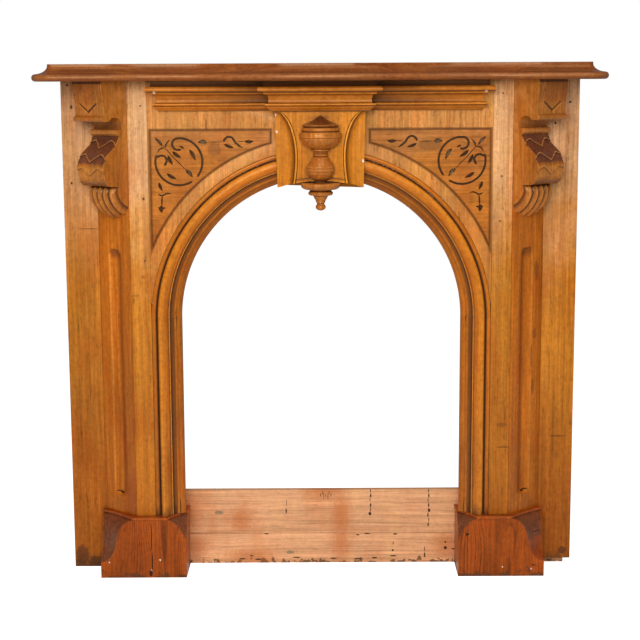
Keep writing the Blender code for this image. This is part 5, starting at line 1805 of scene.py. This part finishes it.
class MANTEL_OT_braces(bpy.types.Operator):
    """Dresses the two raw boards across the hearth"""

    bl_idname = "mantel.braces"
    bl_label = "Hearth Braces"

    def execute(self, context):
        colours = context.scene.mantel_colours
        brace_y = BACK_Y - 0.020
        nails = {
            "upper": ([mark(-0.0960, brace_y, 0.1430, 0.0022, 0.0080),
                       mark(-0.0950, brace_y, 0.1680, 0.0008, 0.0120),
                       mark(0.1274, brace_y, 0.1360, 0.0045, 0.0060),
                       mark(0.2860, brace_y, 0.1440, 0.0035, 0.0050)]
                      + nail_line(0.1290, brace_y, 0.205, 0.140) + nail_line(0.2840, brace_y, 0.205, 0.098)
                      + knot_rays(0.010, brace_y, 0.190)),
            "lower": ([mark(x, brace_y, z, wide, 0.0022) for x, z, wide in
                       ((-0.069, 0.0150, 0.012), (-0.215, 0.0120, 0.009), (-0.190, 0.0200, 0.006),
                        (-0.172, 0.0100, 0.010), (0.190, 0.0180, 0.011), (0.095, 0.0100, 0.012),
                        (0.030, 0.0120, 0.010), (0.140, 0.0130, 0.008), (0.195, 0.0790, 0.008),
                        (0.120, 0.0810, 0.009), (0.180, 0.0840, 0.006), (0.095, 0.0770, 0.006),
                        (-0.150, 0.0815, 0.007), (0.355, 0.0370, 0.010))]
                      + [mark(0.330, brace_y, 0.0400, 0.0045, 0.0050),
                         mark(0.189, brace_y, 0.0340, 0.0030, 0.0040),
                         mark(0.190, brace_y, 0.0540, 0.0012, 0.0060),
                         mark(0.330, brace_y, 0.0560, 0.0030, 0.0030)]
                      + nail_line(0.2740, brace_y, 0.045, 0.012)),
        }
        knots = {
            "upper": (mark(-0.2760, brace_y, 0.1405, 0.014, 0.0060),),
            "lower": (mark(-0.0860, brace_y, 0.0300, 0.012, 0.0060),),
        }
        warm = {
            "upper": (mark(0.010, brace_y, 0.200, 0.085, 0.045, 0.05),
                      mark(0.050, brace_y, 0.130, 0.045, 0.120, 0.05),
                      mark(-0.215, brace_y, 0.120, 0.050, 0.060, 0.05),
                      mark(-0.350, brace_y, 0.140, 0.050, 0.090, 0.05)),
            "lower": (mark(0.050, brace_y, 0.060, 0.045, 0.090, 0.05),
                      mark(-0.200, brace_y, 0.020, 0.090, 0.030, 0.05),
                      mark(0.330, brace_y, 0.050, 0.060, 0.060, 0.05),
                      mark(-0.340, brace_y, 0.050, 0.060, 0.060, 0.05)),
        }
        for word, start in (("lower", 1.3), ("upper", 4.9)):
            item = copied(f"hearth_brace_{word}")
            soften(item, 0.0012, 2)
            finish = wood(f"brace_finish_{word}", colours.raw, ring_width=0.010, ring_share=0.26,
                          late=(0.55, 0.20, 0.075), ramp=(2, 3), start=start, wander=1.4, roughness=0.72,
                          holes_and_shadows=nails[word], stains=warm[word], grime=0.003, figure=0.14, rubbed_and_lit_share=0.2,
                          bump=0.3, stain_share=0.62, stain_colour=(0.46, 0.125, 0.030), patches=0.42,
                          speckle=0.5, pale_marks=knots[word], pale_colour=(0.24, 0.17, 0.10), coat=0.0,
                          stain_softness=0.95)
            finish_piece(item, f"hearth_brace_{word}_wood", [f"hearth_brace_{word}"],
                         finish, lengthwise, fine=False)
        return {"FINISHED"}


# Stage

CAMERA_DISTANCE = 4.0
CAMERA_LENS = 86.7
CAMERA_TILT = 80.53
CAMERA_ROLL = 0.28


class MANTEL_OT_stage(bpy.types.Operator):
    """Sets the pale floor, the soft studio light and the camera"""

    bl_idname = "mantel.stage"
    bl_label = "Stage"

    def execute(self, context):
        start_fresh()
        bpy.ops.mesh.primitive_grid_add(x_subdivisions=4, y_subdivisions=4, size=40, location=(0, 0, 0))
        floor = context.active_object
        floor.name = "studio_floor"
        floor.data.transform(floor.matrix_world)
        floor.location = (0, 0, 0)
        material = bpy.data.materials.new("studio_floor_finish")
        material.use_nodes = True
        shader = material.node_tree.nodes["Principled BSDF"]
        shader.inputs["Base Color"].default_value = (0.93, 0.93, 0.93, 1)
        shader.inputs["Roughness"].default_value = 0.9
        shader.inputs["Emission Color"].default_value = (1, 1, 1, 1)
        seen = add_node(material.node_tree, "ShaderNodeLightPath").outputs["Is Camera Ray"]
        glow = calc(material.node_tree, "MULTIPLY_ADD", seen, 0.80, 0.04)
        material.node_tree.links.new(glow, shader.inputs["Emission Strength"])
        floor.data.materials.append(material)

        world = bpy.data.worlds.new("studio_world")
        context.scene.world = world
        world.use_nodes = True
        tree = world.node_tree
        sky = tree.nodes["Background"]
        sky.inputs["Color"].default_value = (1.0, 1.0, 1.0, 1)
        seen = add_node(tree, "ShaderNodeLightPath").outputs["Is Camera Ray"]
        tree.links.new(calc(tree, "MULTIPLY_ADD", seen, 0.80, 0.20), sky.inputs["Strength"])

        def area(name, location, target, size, power):
            light = bpy.data.lights.new(name, "AREA")
            light.shape = "RECTANGLE"
            light.size = size[0]
            light.size_y = size[1]
            light.energy = power
            item = bpy.data.objects.new(name, light)
            item.location = location
            item.rotation_euler = (Vector(target) - Vector(location)).to_track_quat("-Z", "Y").to_euler()
            context.scene.collection.objects.link(item)

        area("window_light", (-0.45, -3.9, 2.2), (0, 0, 0.8), (2.6, 1.8), 133)
        area("top_light", (0.3, -1.5, 3.2), (0, 0, 0.9), (2.6, 1.6), 34)

        camera = bpy.data.cameras.new("photo_camera")
        camera.sensor_width = 36
        camera.lens = CAMERA_LENS
        item = bpy.data.objects.new("photo_camera", camera)
        item.location = (0.0, BACK_Y - CAMERA_DISTANCE, OVERALL_HEIGHT)
        item.rotation_euler = (math.radians(CAMERA_TILT), math.radians(CAMERA_ROLL), 0.0)
        context.scene.collection.objects.link(item)
        context.scene.camera = item
        context.scene.view_settings.view_transform = "Standard"
        return {"FINISHED"}


OPERATORS = (MANTEL_OT_shelf, MANTEL_OT_bed_mouldings, MANTEL_OT_boards, MANTEL_OT_canted_pilasters,
             MANTEL_OT_arch_mouldings, MANTEL_OT_spandrel_panels, MANTEL_OT_keystone, MANTEL_OT_urn,
             MANTEL_OT_corbels, MANTEL_OT_foot_blocks, MANTEL_OT_braces, MANTEL_OT_stage)


class MANTEL_PT_panel(bpy.types.Panel):
    """Lists the sizes, the colours and the pieces of the mantel"""

    bl_label = "Carved Mantel"
    bl_idname = "MANTEL_PT_panel"
    bl_space_type = "VIEW_3D"
    bl_region_type = "UI"
    bl_category = "Mantel"

    def draw(self, context):
        for group in ("mantel_shelf", "mantel_mouldings", "mantel_carving", "mantel_colours"):
            box = self.layout.box()
            settings = getattr(context.scene, group)
            for key in settings.__annotations__:
                box.prop(settings, key)
        for operator in OPERATORS:
            self.layout.operator(operator.bl_idname)


GROUPS = (ShelfSizes, MouldingSizes, CarvingSizes, WoodColours)


def register():
    for kind in GROUPS + OPERATORS + (MANTEL_PT_panel,):
        bpy.utils.register_class(kind)
    bpy.types.Scene.mantel_shelf = PointerProperty(type=ShelfSizes)
    bpy.types.Scene.mantel_mouldings = PointerProperty(type=MouldingSizes)
    bpy.types.Scene.mantel_carving = PointerProperty(type=CarvingSizes)
    bpy.types.Scene.mantel_colours = PointerProperty(type=WoodColours)


def unregister():
    for name in ("mantel_shelf", "mantel_mouldings", "mantel_carving", "mantel_colours"):
        delattr(bpy.types.Scene, name)
    for kind in reversed(GROUPS + OPERATORS + (MANTEL_PT_panel,)):
        bpy.utils.unregister_class(kind)


def main():
    register()
    grain_group()
    finish_and_light_group()
    spot_group()
    spandrel_group()
    for operator in OPERATORS:
        family, call = operator.bl_idname.split(".")
        getattr(getattr(bpy.ops, family), call)()
    store_hollows(PIECES)


if __name__ == "__main__":
    main()
